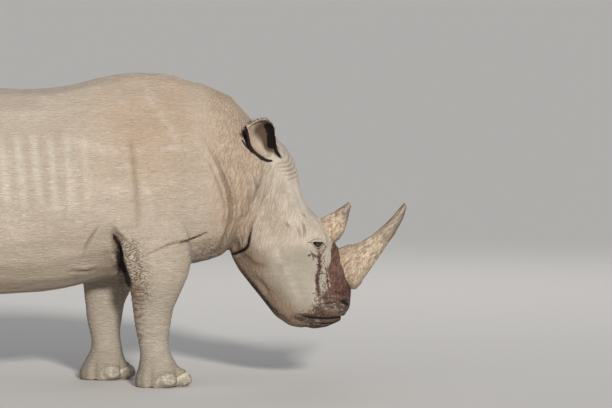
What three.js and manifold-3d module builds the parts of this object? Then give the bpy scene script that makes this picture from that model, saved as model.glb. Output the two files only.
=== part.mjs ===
// A white rhinoceros at life size, standing square with its head lowered to the height of a water
// trough. Millimetres, +Z up, +X forwards, +Y to the animal's left. The body is lofted as a few large
// forms, joined into one, and parted again with thin cuts where a person would name its parts.
import * as THREE from "three";
import { mergeVertices } from "three/addons/utils/BufferGeometryUtils.js";
import Module from "manifold-3d";

const wasm = await Module();
wasm.setup();

// Driving dimensions
const WITHERS_HEIGHT = 1720; // ground to the top of the shoulders
const BUILT_HEIGHT = 1720; // the withers height that the tables below are written for
const GIRTH = 1.0; // width of the trunk and neck against the tables
const GAP = 1.2; // width of each parting cut
const SEAT_GAP = 2; // clearance round what is set into the body: horns, ears, eyes, nails and tail
const FLESH_TOLERANCE = 6; // how far merging small faces may move the joined body's surface
const NODE_TOLERANCE = 0.5; // the same for a finished node, well inside the parting gap
const HEAD_PITCH = 74; // degrees that the head's long axis points below the horizontal
const HIND_FOOT_X = -1515; // the neutral hind foot, behind the neutral forefoot at X 0
const EYE_RADIUS = 21;

// How far each leg swings ahead of the neutral stance, and how far its foot slides beyond that.
const FORE_STRIDE = { right: 131, left: -150 };
const FORE_SLIDE = { right: 15, left: -26 };
const HIND_STRIDE = { right: -70, left: 70 };

const SIDES = [
  { name: "right", sign: -1 },
  { name: "left", sign: 1 },
];
const BIG = 6000; // side of a block that stands for a half space

// ---- Tables of curves --------------------------------------------------------------------------

// Smooth curves through a table whose rows are [position, value, value, ...].
function curves(names, table) {
  const positions = table.map((row) => row[0]);
  const values = table.flatMap((row) => row.slice(1));
  const smooth = new THREE.CubicInterpolant(positions, values, names.length);
  return (at) => {
    const found = smooth.evaluate(at);
    return Object.fromEntries(names.map((name, i) => [name, found[i]]));
  };
}

// Trunk and neck: the midline from rump to throat. lean tips a section so that its top is ahead.
const TRUNK_START = -1640;
const NECK_END = 640;
const trunkAt = curves(
  ["top", "mid", "bottom", "side", "ridge", "keel", "lean"],
  [
    [-1640, 1600, 1190, 830, 330, 1.9, 2.0, 0],
    [-1500, 1672, 1140, 700, 405, 1.85, 2.0, 0],
    [-1350, 1700, 1085, 612, 445, 1.8, 2.1, 0],
    [-1200, 1688, 1045, 552, 468, 1.85, 2.2, 0],
    [-1000, 1652, 1010, 506, 488, 1.95, 2.25, 0],
    [-800, 1632, 1000, 488, 496, 2.0, 2.3, 0],
    [-600, 1623, 1000, 492, 492, 2.0, 2.3, 0],
    [-450, 1625, 1008, 506, 480, 1.95, 2.25, 0],
    [-300, 1650, 1025, 534, 460, 1.85, 2.2, 0],
    [-150, 1688, 1045, 574, 436, 1.75, 2.1, 0],
    [0, 1713, 1065, 602, 424, 1.7, 2.1, 0],
    [110, 1714, 1080, 617, 412, 1.7, 2.1, 0],
    [240, 1680, 1085, 638, 384, 1.75, 2.1, 0.03],
    [330, 1655, 1080, 648, 350, 1.8, 2.1, 0.09],
    [420, 1614, 1070, 658, 312, 1.85, 2.1, 0.18],
    [530, 1468, 1060, 672, 288, 1.95, 2.1, 0.31],
    [640, 1345, 1050, 705, 258, 2.0, 2.1, 0.4],
  ],
);

// Head: position runs from the poll to the lips. dorsal is towards the horns, ventral to the jaw.
const HEAD_START = -60;
const HEAD_END = 962;
const headAt = curves(
  ["dorsal", "mid", "ventral", "side", "brow", "jowl"],
  [
    [-60, 62, -60, -180, 138, 2.3, 2.0],
    [44, 112, -60, -235, 174, 2.5, 2.0],
    [129, 128, -60, -270, 186, 2.4, 2.0],
    [206, 119, -70, -300, 191, 2.3, 2.0],
    [303, 118, -80, -330, 198, 2.4, 2.0],
    [380, 137, -85, -348, 203, 2.4, 2.0],
    [447, 172, -75, -356, 200, 2.3, 2.0],
    [535, 199, -60, -352, 188, 2.2, 2.0],
    [600, 219, -45, -334, 174, 2.2, 2.1],
    [665, 234, -30, -309, 160, 2.3, 2.3],
    [760, 240, -10, -270, 147, 2.5, 2.4],
    [857, 228, 10, -232, 142, 2.7, 2.3],
    [930, 208, 25, -188, 146, 2.8, 2.4],
    [975, 184, 35, -140, 142, 2.8, 2.4],
  ],
);

// Foreleg: position is the height. fore and aft are the edges ahead of and behind the neutral
// stance, out is how far the section's middle stands from the midline.
const forelegAt = curves(
  ["fore", "mid", "aft", "side", "out", "toes", "heel"],
  [
    [0, 116, 10, -118, 114, 224, 2.4, 2.2],
    [59, 130, 14, -113, 117, 224, 2.3, 2.2],
    [111, 134, 18, -90, 106, 224, 2.2, 2.1],
    [165, 106, 14, -74, 90, 224, 2.1, 2.0],
    [205, 90, 8, -72, 83, 225, 2.0, 2.0],
    [250, 86, 4, -80, 81, 226, 2.0, 2.0],
    [300, 95, 2, -93, 86, 229, 2.0, 2.0],
    [371, 104, 0, -107, 93, 231, 2.0, 2.0],
    [450, 121, 2, -110, 101, 238, 2.0, 2.0],
    [534, 168, 12, -126, 114, 246, 2.0, 2.0],
    [613, 212, 24, -150, 128, 255, 2.0, 2.1],
    [707, 254, 40, -166, 140, 262, 2.1, 2.1],
    [800, 276, 50, -160, 148, 266, 2.1, 2.1],
    [900, 284, 60, -148, 138, 258, 2.1, 2.1],
    [1010, 250, 58, -130, 108, 240, 2.0, 2.0],
    [1120, 190, 52, -90, 70, 220, 2.0, 2.0],
  ],
);

// Hind leg, as the foreleg, with the hock's point behind at a quarter of the withers height.
const hindlegAt = curves(
  ["fore", "mid", "aft", "side", "out", "toes", "heel"],
  [
    [0, 108, 6, -106, 104, 222, 2.4, 2.2],
    [60, 112, 6, -102, 106, 222, 2.3, 2.2],
    [107, 98, 2, -88, 92, 222, 2.2, 2.1],
    [151, 80, -4, -80, 80, 222, 2.1, 2.0],
    [200, 66, -10, -84, 73, 223, 2.0, 2.0],
    [265, 62, -16, -94, 72, 225, 2.0, 2.0],
    [330, 68, -20, -112, 78, 228, 2.0, 2.0],
    [400, 82, -26, -144, 84, 230, 2.0, 1.8],
    [455, 98, -26, -160, 90, 232, 2.0, 1.8],
    [525, 132, -12, -160, 102, 238, 2.0, 1.9],
    [605, 186, 6, -172, 120, 246, 2.0, 2.0],
    [700, 258, 24, -208, 142, 256, 2.0, 2.0],
    [800, 318, 32, -256, 160, 266, 2.1, 2.0],
    [900, 354, 34, -292, 170, 270, 2.1, 2.1],
    [1010, 366, 30, -312, 170, 266, 2.1, 2.1],
    [1120, 346, 24, -306, 150, 254, 2.0, 2.0],
    [1240, 280, 20, -260, 108, 228, 2.0, 2.0],
    [1340, 180, 20, -170, 60, 200, 2.0, 2.0],
  ],
);

// Horns: [x, z] on the upper edge, [x, z] on the lower edge, and the half width across.
const FRONT_HORN = [
  [1128, 742, 1150, 520, 92],
  [1206, 756, 1238, 524, 99],
  [1240, 764, 1284, 572, 86],
  [1282, 784, 1330, 640, 68],
  [1342, 822, 1386, 722, 50],
  [1384, 858, 1425, 778, 41],
  [1424, 897, 1462, 830, 34],
  [1474, 954, 1502, 908, 22],
  [1505, 990, 1519, 962, 12],
];
const REAR_HORN = [
  [1010, 880, 1096, 764, 60],
  [1052, 906, 1142, 790, 66],
  [1090, 925, 1170, 822, 57],
  [1127, 945, 1187, 864, 44],
  [1156, 964, 1199, 906, 32],
  [1180, 982, 1208, 944, 21],
  [1196, 993, 1214, 968, 11],
];

// Tail: [x, z, radius] down the cleft of the rump, and the tuft that ends it.
const TAIL = [
  [-1700, 1500, 48],
  [-1800, 1455, 44],
  [-1872, 1370, 38],
  [-1898, 1250, 33],
  [-1900, 1110, 28],
  [-1892, 980, 23],
  [-1884, 880, 19],
];
const TAIL_TUFT = [
  [-1884, 876, 19],
  [-1880, 830, 25],
  [-1877, 770, 24],
  [-1875, 715, 14],
];

// ---- Making solids -----------------------------------------------------------------------------

const lerp = THREE.MathUtils.lerp;
const smoothstep = THREE.MathUtils.smoothstep;
const radians = THREE.MathUtils.degToRad;
const vector = (x, y, z) => new THREE.Vector3(x, y, z);

// A closed geometry as a manifold solid, with its faces turned outwards.
function solid(geometry) {
  const bare = geometry.clone();
  bare.deleteAttribute("normal");
  bare.deleteAttribute("uv");
  const merged = mergeVertices(bare, 1e-3);
  const made = (triVerts) =>
    new wasm.Manifold(
      new wasm.Mesh({
        numProp: 3,
        vertProperties: new Float32Array(merged.attributes.position.array),
        triVerts,
      }),
    );
  const faces = new Uint32Array(merged.index.array);
  const first = made(faces);
  return first.volume() > 0 ? first : made(faces.reverse());
}

// A sphere whose rings are moved to the sections of a body: one ring per row, a pole at each end.
// place(row, angle) gives a point of the row's ring, and a row of no size gives the pole.
function reshaped(rows, around, place) {
  const ball = new THREE.SphereGeometry(1, around, rows.length - 1);
  const positions = ball.attributes.position;
  rows.forEach((row, i) => {
    for (let j = 0; j <= around; j++) {
      const point = place(row, ((j % around) / around) * 2 * Math.PI);
      positions.setXYZ(i * (around + 1) + j, point.x, point.y, point.z);
    }
  });
  return solid(ball);
}

// Rows from a to b, with a rounded end of the given length before a and after b. A crowd below 1
// sets the rows closer together towards b.
function rows(a, b, count, startLength, endLength, capRows = 3, crowd = 1) {
  const made = [];
  const cap = (at, length, i) => {
    const turn = ((i / capRows) * Math.PI) / 2;
    return { at, ahead: length * Math.cos(turn), shrink: Math.sin(turn) };
  };
  for (let i = 0; i < capRows; i++) made.push(cap(a, -startLength, i));
  for (let i = 0; i <= count; i++) {
    made.push({ at: lerp(a, b, (i / count) ** crowd), ahead: 0, shrink: 1 });
  }
  for (let i = capRows - 1; i >= 0; i--) made.push(cap(b, endLength, i));
  return made;
}

// A section of rounded outline: a superellipse with its own reach and roundness above and below.
function outline(angle, { side, above, below, roundAbove = 2, roundBelow = 2 }) {
  const [c, s] = [Math.cos(angle), Math.sin(angle)];
  const round = s >= 0 ? roundAbove : roundBelow;
  const bend = (value) => Math.sign(value) * Math.abs(value) ** (2 / round);
  return { across: bend(c) * side, up: bend(s) * (s >= 0 ? above : below) };
}

// A flattened or stretched ball for a muscle, toe or lip. turn is [x, y, z] in degrees.
function mass(centre, [x, y, z], turn = [0, 0, 0], around = 10, rings = 6) {
  const ball = new THREE.SphereGeometry(1, around, rings);
  ball.scale(x, y, z);
  ball.rotateX(radians(turn[0])).rotateY(radians(turn[1])).rotateZ(radians(turn[2]));
  ball.translate(centre.x, centre.y, centre.z);
  return solid(ball);
}

// Everything on the side of a plane that its direction points to, from half a cut away.
function beyond(point, direction) {
  const block = new THREE.BoxGeometry(BIG, BIG, BIG);
  block.translate(0, 0, BIG / 2 + GAP / 2);
  const turn = new THREE.Quaternion().setFromUnitVectors(vector(0, 0, 1), direction.clone().normalize());
  block.applyQuaternion(turn);
  block.translate(point.x, point.y, point.z);
  return solid(block);
}

const joined = (solids) => solids.reduce((all, one) => all.add(one));
const within = (whole, ...limits) => limits.reduce((left, limit) => left.intersect(limit), whole);

// ---- Trunk and neck ----------------------------------------------------------------------------

function trunk() {
  return reshaped(rows(TRUNK_START, NECK_END, 20, 205, 84, 3, 0.85), 20, ({ at, ahead, shrink }, angle) => {
    const s = trunkAt(at);
    const { across, up } = outline(angle, {
      side: s.side * GIRTH,
      above: s.top - s.mid,
      below: s.mid - s.bottom,
      roundAbove: s.ridge,
      roundBelow: s.keel,
    });
    return vector(at + ahead + s.lean * up * shrink, across * shrink, s.mid + up * shrink);
  });
}

// The ham, which fills out the rump behind the thigh.
function ham(sign) {
  return mass(vector(-1610, sign * 186, 1110), [210, 172, 270], [0, -6, 0]);
}

// ---- Head --------------------------------------------------------------------------------------

const POLL = vector(759, 0, 1283); // origin of the head's own frame
const ALONG = vector(Math.cos(radians(HEAD_PITCH)), 0, -Math.sin(radians(HEAD_PITCH)));
const DORSAL = vector(-ALONG.z, 0, ALONG.x);

// A point of the head: distance from the poll to the lips, height above its axis, and left of it.
function onHead(along, height, left) {
  return POLL.clone().addScaledVector(ALONG, along).addScaledVector(DORSAL, height).add(vector(0, left, 0));
}

function skull() {
  return reshaped(rows(HEAD_START, HEAD_END, 14, 60, 38, 2), 16, ({ at, ahead, shrink }, angle) => {
    const s = headAt(at);
    const { across, up } = outline(angle, {
      side: s.side,
      above: s.dorsal - s.mid,
      below: s.mid - s.ventral,
      roundAbove: s.brow,
      roundBelow: s.jowl,
    });
    return onHead(at + ahead, s.mid + up * shrink, across * shrink);
  });
}

// Cheek, brow, nose and lip, which give the face its planes.
function headMuscles(sign) {
  const lie = [0, HEAD_PITCH, 0]; // a mass whose own X runs along the head
  return [
    mass(onHead(390, -150, sign * 106), [255, 104, 165], lie), // cheek
    mass(onHead(560, 106, sign * 84), [128, 68, 80], lie), // brow
    mass(onHead(900, 118, sign * 84), [95, 64, 78], lie), // wing of the nose
    mass(onHead(965, 40, sign * 68), [56, 84, 125], lie), // upper lip
  ];
}

// Lower lip and chin, level under the mouth.
function chin() {
  return mass(vector(1020, 0, 374), [150, 122, 50], [0, 0, 0], 12, 5);
}

function nostril(sign) {
  return mass(onHead(922, 150, sign * 143), [15, 26, 31], [0, HEAD_PITCH - 62, 0], 8, 5);
}

const EYE_PLACES = SIDES.map(({ name, sign }) => ({ name, centre: onHead(566, 129, sign * 139) }));

function eye(centre, grow = 0) {
  const radius = EYE_RADIUS + grow;
  return mass(centre, [radius, radius, radius], [0, 0, 0], 9, 6);
}

// ---- Horns -------------------------------------------------------------------------------------

// A horn from its table of edges, closed by a rounded tip and, inside the head, by a flat base.
function horn(table, grow = 0) {
  const at = curves(["topX", "topZ", "lowX", "lowZ", "side"], table.map((row, i) => [i, ...row]));
  const last = table.length - 1;
  const turns = [{ at: 0, ahead: -grow, shrink: 0 }];
  for (let i = 0; i <= last * 1.5; i++) turns.push({ at: i / 1.5, ahead: i ? 0 : -grow, shrink: 1 });
  if (turns.at(-1).at < last) turns.push({ at: last, ahead: 0, shrink: 1 });
  turns.push({ at: last, ahead: 10 + grow, shrink: 0 });
  return reshaped(turns, 10, (row, angle) => {
    const s = at(row.at);
    const centre = vector((s.topX + s.lowX) / 2, 0, (s.topZ + s.lowZ) / 2);
    const up = vector(s.topX - centre.x, 0, s.topZ - centre.z);
    const half = up.length();
    up.normalize();
    const forward = vector(up.z, 0, -up.x);
    const ring = outline(angle, { side: s.side + grow, above: half + grow, below: half + grow });
    return centre
      .addScaledVector(forward, row.ahead)
      .addScaledVector(up, ring.up * row.shrink)
      .add(vector(0, ring.across * row.shrink, 0));
  });
}

// ---- Ears --------------------------------------------------------------------------------------

// An ear is a rolled leaf: a full outer form less a hollow that opens outwards and forwards. Its table
// runs from the stalk to the tip. shift moves a section towards the front margin, back is the depth
// of the leaf behind its midline, and rim is how far its edges stand forward.
const EAR_TIP_Z = { right: 1424, left: 1380 };
const EAR_WALL = 11;
const HOLLOW_START = 0.31; // share of the ear's length where the stalk opens into the cup
const earAt = curves(
  ["width", "shift", "back", "rim"],
  [
    [0, 34, 0, 34, 32],
    [0.18, 35, 4, 38, 34],
    [0.28, 44, 11, 44, 34],
    [0.38, 68, 25, 52, 30],
    [0.46, 86, 36, 58, 28],
    [0.55, 96, 40, 60, 24],
    [0.68, 95, 39, 56, 20],
    [0.79, 77, 42, 46, 15],
    [0.87, 54, 34, 34, 12],
    [0.94, 30, 20, 24, 10],
    [1, 12, 4, 12, 6],
  ],
);

// The ear's frame. along runs to the tip, open is the way it faces, and upper is its front margin.
function earFrame(sign) {
  const base = vector(840, sign * 85, 1195);
  const tip = vector(645, sign * 290, EAR_TIP_Z[sign > 0 ? "left" : "right"]);
  const along = tip.clone().sub(base);
  const length = along.length();
  along.normalize();
  const open = vector(0.3, sign * 0.9, 0.2);
  open.addScaledVector(along, -open.dot(along)).normalize();
  const upper = vector().crossVectors(along, open).multiplyScalar(-sign);
  return { base, length, along, open, upper };
}

function earForm(sign, { wall = 0, grow = 0, from = 0 }) {
  const { base, length, along, open, upper } = earFrame(sign);
  return reshaped(rows(from, 1, 8, 0, 0, 1), 10, ({ at, shrink }, angle) => {
    const s = earAt(at);
    const ring = outline(angle, {
      side: (s.width - wall + grow) * shrink,
      above: (s.rim + wall * 4 + grow) * shrink,
      below: (s.back - wall + grow) * shrink,
      roundBelow: 2.2,
    });
    const curl = 24 * Math.sin(at * Math.PI);
    const stretch = at === 1 ? grow - wall : at === from ? -grow : 0;
    return base
      .clone()
      .addScaledVector(along, at * length + stretch)
      .addScaledVector(open, ring.up - curl)
      .addScaledVector(upper, ring.across + s.shift);
  });
}

function ear(sign) {
  return earForm(sign, {}).subtract(earForm(sign, { wall: EAR_WALL, from: HOLLOW_START }));
}

const earSeat = (sign) => earForm(sign, { grow: SEAT_GAP });

// ---- Legs and feet -----------------------------------------------------------------------------

const LEGS = SIDES.flatMap(({ name, sign }) => [
  {
    name: `fore_${name}`,
    sign,
    x: 0,
    stride: FORE_STRIDE[name],
    slide: FORE_SLIDE[name],
    swingTop: 1150,
    table: forelegAt,
    top: 1120,
    count: 13,
    toe: 1,
  },
  {
    name: `hind_${name}`,
    sign,
    x: HIND_FOOT_X,
    stride: HIND_STRIDE[name],
    slide: 0,
    swingTop: 950,
    table: hindlegAt,
    top: 1340,
    count: 14,
    toe: 0.93,
  },
]);

// A leg keeps its foot and knee upright below, and meets the trunk in one place above.
function legX(leg, height) {
  const swing = leg.stride * (1 - smoothstep(height, 480, leg.swingTop));
  return leg.x + swing + leg.slide * (1 - smoothstep(height, 60, 180));
}

function legColumn(leg) {
  const sole = [
    { at: 0, shrink: 0, lift: 0 },
    { at: 0, shrink: 0.97, lift: 0 },
  ];
  const shaft = Array.from({ length: leg.count }, (_, i) => {
    const share = (i + 1) / leg.count;
    return { at: leg.top * share ** 1.25, shrink: 1, lift: 0 };
  });
  const crown = [
    { at: leg.top, shrink: 0.7, lift: 60 },
    { at: leg.top, shrink: 0, lift: 85 },
  ];
  return reshaped([...sole, ...shaft, ...crown], 12, ({ at, shrink, lift }, angle) => {
    const s = leg.table(at);
    const ring = outline(angle, {
      side: s.side,
      above: s.fore - s.mid,
      below: s.mid - s.aft,
      roundAbove: s.toes,
      roundBelow: s.heel,
    });
    const x = legX(leg, at) + s.mid + ring.up * shrink;
    return vector(x, leg.sign * s.out + ring.across * shrink, at + lift);
  });
}

// Three toes to a foot: one ahead and one to each side, each with a broad nail.
const TOES = [
  { name: "middle", turn: 0, reach: 104, size: [62, 66, 66], nail: [24, 54, 42] },
  { name: "outer", turn: 64, reach: 86, size: [56, 60, 62], nail: [22, 44, 40] },
  { name: "inner", turn: -64, reach: 86, size: [56, 60, 62], nail: [22, 44, 40] },
];

function toePlace(leg, toe) {
  const heading = radians(toe.turn * leg.sign);
  const ahead = vector(Math.cos(heading), Math.sin(heading), 0);
  const centre = vector(legX(leg, 0) + 18 * leg.toe, leg.sign * leg.table(0).out, 0);
  return { ahead, centre: centre.addScaledVector(ahead, toe.reach * leg.toe) };
}

function toeLobe(leg, toe) {
  const { centre } = toePlace(leg, toe);
  const size = toe.size.map((length) => length * leg.toe);
  return mass(centre.setZ(44 * leg.toe), size, [0, -18, toe.turn * leg.sign], 8, 5);
}

function nail(leg, toe, grow = 0) {
  const { centre, ahead } = toePlace(leg, toe);
  centre.addScaledVector(ahead, (toe.size[0] - 13) * leg.toe).setZ(46 * leg.toe);
  const size = toe.nail.map((length) => length * leg.toe + grow);
  return mass(centre, size, [0, -16, toe.turn * leg.sign], 7, 5);
}

// ---- Tail --------------------------------------------------------------------------------------

// A round limb in the midline plane through [x, z, radius] rows.
function midlineTube(table, count, around, grow = 0) {
  const at = curves(["x", "z", "radius"], table.map((row, i) => [i, ...row]));
  const last = table.length - 1;
  return reshaped(rows(0, last, count, 8 + grow, 8 + grow, 2), around, ({ at: t, ahead, shrink }, angle) => {
    const here = at(t);
    const before = at(Math.max(t - 0.1, 0));
    const after = at(Math.min(t + 0.1, last));
    const tangent = vector(after.x - before.x, 0, after.z - before.z).normalize();
    const normal = vector(-tangent.z, 0, tangent.x);
    const radius = (here.radius + grow) * shrink;
    return vector(here.x, radius * Math.cos(angle), here.z)
      .addScaledVector(tangent, ahead)
      .addScaledVector(normal, radius * Math.sin(angle));
  });
}

// ---- The whole body, and where it is parted ----------------------------------------------------

const GROUND = beyond(vector(0, 0, -GAP / 2), vector(0, 0, 1));

function wholeBody() {
  const toes = LEGS.flatMap((leg) => TOES.map((toe) => toeLobe(leg, toe)));
  const nailSeats = LEGS.flatMap((leg) => TOES.map((toe) => nail(leg, toe, SEAT_GAP)));
  const flesh = joined([
    trunk(),
    skull(),
    chin(),
    ...SIDES.flatMap(({ sign }) => [ham(sign), ...headMuscles(sign)]),
    ...LEGS.map(legColumn),
    ...toes,
  ]);
  const seats = joined([
    horn(FRONT_HORN, SEAT_GAP),
    horn(REAR_HORN, SEAT_GAP),
    midlineTube(TAIL, 8, 8, SEAT_GAP),
    ...SIDES.flatMap(({ sign }) => [earSeat(sign), nostril(sign)]),
    ...EYE_PLACES.map(({ centre }) => eye(centre, SEAT_GAP)),
    ...nailSeats,
  ]);
  const plain = flesh.simplify(FLESH_TOLERANCE).simplify(FLESH_TOLERANCE);
  return plain.subtract(seats).intersect(GROUND);
}

// Parting planes: a point on each and the direction that counts as ahead or above.
const CUTS = {
  head: [vector(590, 0, 700), vector(1, 0, -0.25)],
  neck: [vector(385, 0, 1100), vector(1, 0, 0)],
  shoulders: [vector(-260, 0, 1000), vector(1, 0, 0)],
  barrel: [vector(-1050, 0, 1000), vector(1, 0, 0)],
  forelegs: [vector(0, 0, 580), vector(-0.2, 0, 1)],
  hindlegs: [vector(-1050, 0, 500), vector(0.2, 0, 1)],
  knees: [vector(0, 0, 372), vector(0, 0, 1)],
  hocks: [vector(0, 0, 420), vector(0, 0, 1)],
  ankles: [vector(0, 0, 165), vector(0, 0, 1)],
  legPairs: [vector(-800, 0, 0), vector(1, 0, 0)],
  middle: [vector(0, 0, 0), vector(0, 1, 0)],
};
const past = ([point, direction]) => beyond(point, direction);
const before = ([point, direction]) => beyond(point, direction.clone().negate());

// The lower jaw lies below the level of the mouth and behind the corner of the lips.
function jawRegion(inset) {
  const shape = new THREE.Shape(
    [
      [1400, 366],
      [1020, 372],
      [905, 392],
      [838, 480],
      [700, 640],
      [560, 700],
      [560, 100],
      [1400, 100],
    ].map(([x, z]) => new THREE.Vector2(x, z - inset)),
  );
  const prism = new THREE.ExtrudeGeometry(shape, { depth: 1000, bevelEnabled: false });
  prism.translate(0, 0, -500).rotateX(Math.PI / 2);
  return solid(prism);
}

function fleshNodes() {
  const body = wholeBody();
  const above = (part) => within(part, past(CUTS.forelegs));
  const trunkOnly = within(body, before(CUTS.head));
  const headOnly = within(body, past(CUTS.head));
  const behindNeck = within(trunkOnly, before(CUTS.neck));
  const nodes = {
    head: headOnly.subtract(jawRegion(0)),
    lower_jaw: headOnly.intersect(jawRegion(GAP)),
    neck: within(trunkOnly, past(CUTS.neck)),
    shoulders: above(within(behindNeck, past(CUTS.shoulders))),
    barrel: above(within(behindNeck, before(CUTS.shoulders), past(CUTS.barrel))),
    hindquarters: within(behindNeck, before(CUTS.barrel), past(CUTS.hindlegs)),
  };
  const pairs = {
    fore: { half: past(CUTS.legPairs), under: before(CUTS.forelegs), joint: CUTS.knees, upper: "forearm" },
    hind: { half: before(CUTS.legPairs), under: before(CUTS.hindlegs), joint: CUTS.hocks, upper: "gaskin" },
  };
  for (const leg of LEGS) {
    const pair = pairs[leg.name.slice(0, 4)];
    const side = leg.sign > 0 ? past(CUTS.middle) : before(CUTS.middle);
    const whole = within(behindNeck, pair.half, pair.under, side);
    nodes[`${leg.name}_${pair.upper}`] = within(whole, past(pair.joint));
    nodes[`${leg.name}_shank`] = within(whole, before(pair.joint), past(CUTS.ankles));
    nodes[`${leg.name}_foot`] = within(whole, before(CUTS.ankles));
  }
  return nodes;
}

function nailNodes() {
  const made = LEGS.flatMap((leg) => TOES.map((toe) => [`${leg.name}_nail_${toe.name}`, nail(leg, toe)]));
  return Object.fromEntries(made);
}

function otherNodes() {
  return {
    front_horn: horn(FRONT_HORN),
    rear_horn: horn(REAR_HORN),
    tail: midlineTube(TAIL, 8, 8),
    tail_tuft: midlineTube(TAIL_TUFT, 3, 7).subtract(midlineTube(TAIL, 8, 8, SEAT_GAP)),
    ...Object.fromEntries(SIDES.map(({ name, sign }) => [`ear_${name}`, ear(sign)])),
    ...Object.fromEntries(EYE_PLACES.map(({ name, centre }) => [`eye_${name}`, eye(centre)])),
  };
}

// ---- Scene graph -------------------------------------------------------------------------------

const finish = (color, roughness) => new THREE.MeshStandardMaterial({ color, roughness, metalness: 0 });
const FINISHES = {
  hide: finish(0xb5a68f, 0.9),
  horn: finish(0x9a8d74, 0.75),
  nail: finish(0xb9ad97, 0.7),
  eye: finish(0x17100c, 0.15),
  hair: finish(0x2b211a, 0.85),
};

function finishOf(name) {
  if (name.includes("horn")) return FINISHES.horn;
  if (name.includes("nail")) return FINISHES.nail;
  if (name.startsWith("eye")) return FINISHES.eye;
  if (name === "tail_tuft") return FINISHES.hair;
  return FINISHES.hide;
}

function meshOf(name, piece) {
  const { vertProperties, triVerts } = piece.simplify(NODE_TOLERANCE).getMesh();
  const geometry = new THREE.BufferGeometry();
  geometry.setAttribute("position", new THREE.BufferAttribute(vertProperties, 3));
  geometry.setIndex(new THREE.BufferAttribute(triVerts, 1));
  geometry.computeVertexNormals();
  const mesh = new THREE.Mesh(geometry, finishOf(name));
  mesh.name = name;
  return mesh;
}

// The group stands on the ground with its origin under the middle of its box.
function rhinoceros() {
  const animal = new THREE.Group();
  const nodes = { ...fleshNodes(), ...otherNodes(), ...nailNodes() };
  for (const [name, piece] of Object.entries(nodes)) animal.add(meshOf(name, piece));
  const scale = WITHERS_HEIGHT / BUILT_HEIGHT;
  const box = new THREE.Box3().setFromObject(animal);
  const middle = box.getCenter(vector());
  animal.scale.setScalar(scale);
  animal.position.set(-middle.x * scale, -middle.y * scale, -box.min.z * scale);
  const root = new THREE.Group();
  root.add(animal);
  return root;
}

export default rhinoceros();
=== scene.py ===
"""A grown white rhinoceros that stands with its head lowered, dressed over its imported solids.

One skin is remeshed over all the nodes of flesh, smoothed, and worked in code with muscles, folds,
lids, lips and wrinkles. The eyes, horns, nails and hair are pieces of their own. Lengths in the
tables are millimetres from the ground under the neutral forefoot: x ahead, y to the left, z up.
"""

import math

import bmesh
import bpy
import numpy as np
from bpy.props import FloatProperty, FloatVectorProperty, IntProperty, PointerProperty
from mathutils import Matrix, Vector
from mathutils.bvhtree import BVHTree


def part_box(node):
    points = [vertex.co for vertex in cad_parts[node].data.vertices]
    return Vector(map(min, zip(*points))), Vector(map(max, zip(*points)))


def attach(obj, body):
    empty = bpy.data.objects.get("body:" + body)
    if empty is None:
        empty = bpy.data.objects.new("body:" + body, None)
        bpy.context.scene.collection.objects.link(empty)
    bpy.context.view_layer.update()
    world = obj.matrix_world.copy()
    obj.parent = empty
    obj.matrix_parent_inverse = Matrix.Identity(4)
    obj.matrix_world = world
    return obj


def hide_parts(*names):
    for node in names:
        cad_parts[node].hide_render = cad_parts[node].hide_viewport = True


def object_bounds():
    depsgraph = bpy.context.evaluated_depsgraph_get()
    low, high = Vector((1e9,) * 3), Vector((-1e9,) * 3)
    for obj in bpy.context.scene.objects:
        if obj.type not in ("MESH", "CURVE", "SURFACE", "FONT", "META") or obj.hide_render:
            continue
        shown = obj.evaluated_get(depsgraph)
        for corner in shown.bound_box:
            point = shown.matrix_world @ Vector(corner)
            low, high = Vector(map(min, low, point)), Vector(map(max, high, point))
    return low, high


bl_info = {
    "name": "White rhinoceros",
    "version": (1, 0, 0),
    "blender": (4, 5, 0),
    "location": "View3D > Sidebar > Rhinoceros",
    "description": "Skin, horns, eyes, nails and hair of a white rhinoceros over its solids",
    "category": "Object",
}

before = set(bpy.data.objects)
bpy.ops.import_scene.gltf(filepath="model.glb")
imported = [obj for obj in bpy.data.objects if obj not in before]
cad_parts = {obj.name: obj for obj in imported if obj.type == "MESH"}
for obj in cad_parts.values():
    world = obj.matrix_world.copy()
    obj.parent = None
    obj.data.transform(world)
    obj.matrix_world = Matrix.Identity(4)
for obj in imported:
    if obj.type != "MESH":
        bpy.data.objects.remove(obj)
CAD_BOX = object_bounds()

# ---- Frame -------------------------------------------------------------------------------------

TABLE_HEIGHT = 1716.0  # height of the solids that the tables are written for
TABLE_ORIGIN = np.array([204.94, 0.0, 0.0])  # the frame's origin to the neutral forefoot
MM = (CAD_BOX[1].z - CAD_BOX[0].z) / TABLE_HEIGHT  # metres in the frame for a table's millimetre
SIDES = {"right": -1, "left": 1}
FORE, HIND = ([f"{pair}_{side}" for side in SIDES] for pair in ("fore", "hind"))
LEGS = FORE + HIND
NAILS = [f"{leg}_nail_{toe}" for leg in LEGS for toe in ("middle", "outer", "inner")]
EYES = [f"eye_{side}" for side in SIDES]
FLESH = ["head", "lower_jaw", "neck", "shoulders", "barrel", "hindquarters", "tail"]
FLESH += [f"ear_{side}" for side in SIDES]
FLESH += [f"{leg}_{part}" for leg in FORE for part in ("forearm", "shank", "foot")]
FLESH += [f"{leg}_{part}" for leg in HIND for part in ("gaskin", "shank", "foot")]


def to_table(metres):
    return np.asarray(metres, float) / MM - TABLE_ORIGIN


def to_frame(table):
    return (np.asarray(table, float) + TABLE_ORIGIN) * MM


def node_box(name):
    """A node's lowest and highest corners."""
    return to_table(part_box(name))


def node_centre(name):
    low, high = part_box(name)
    return to_table((low + high) / 2)


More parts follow.
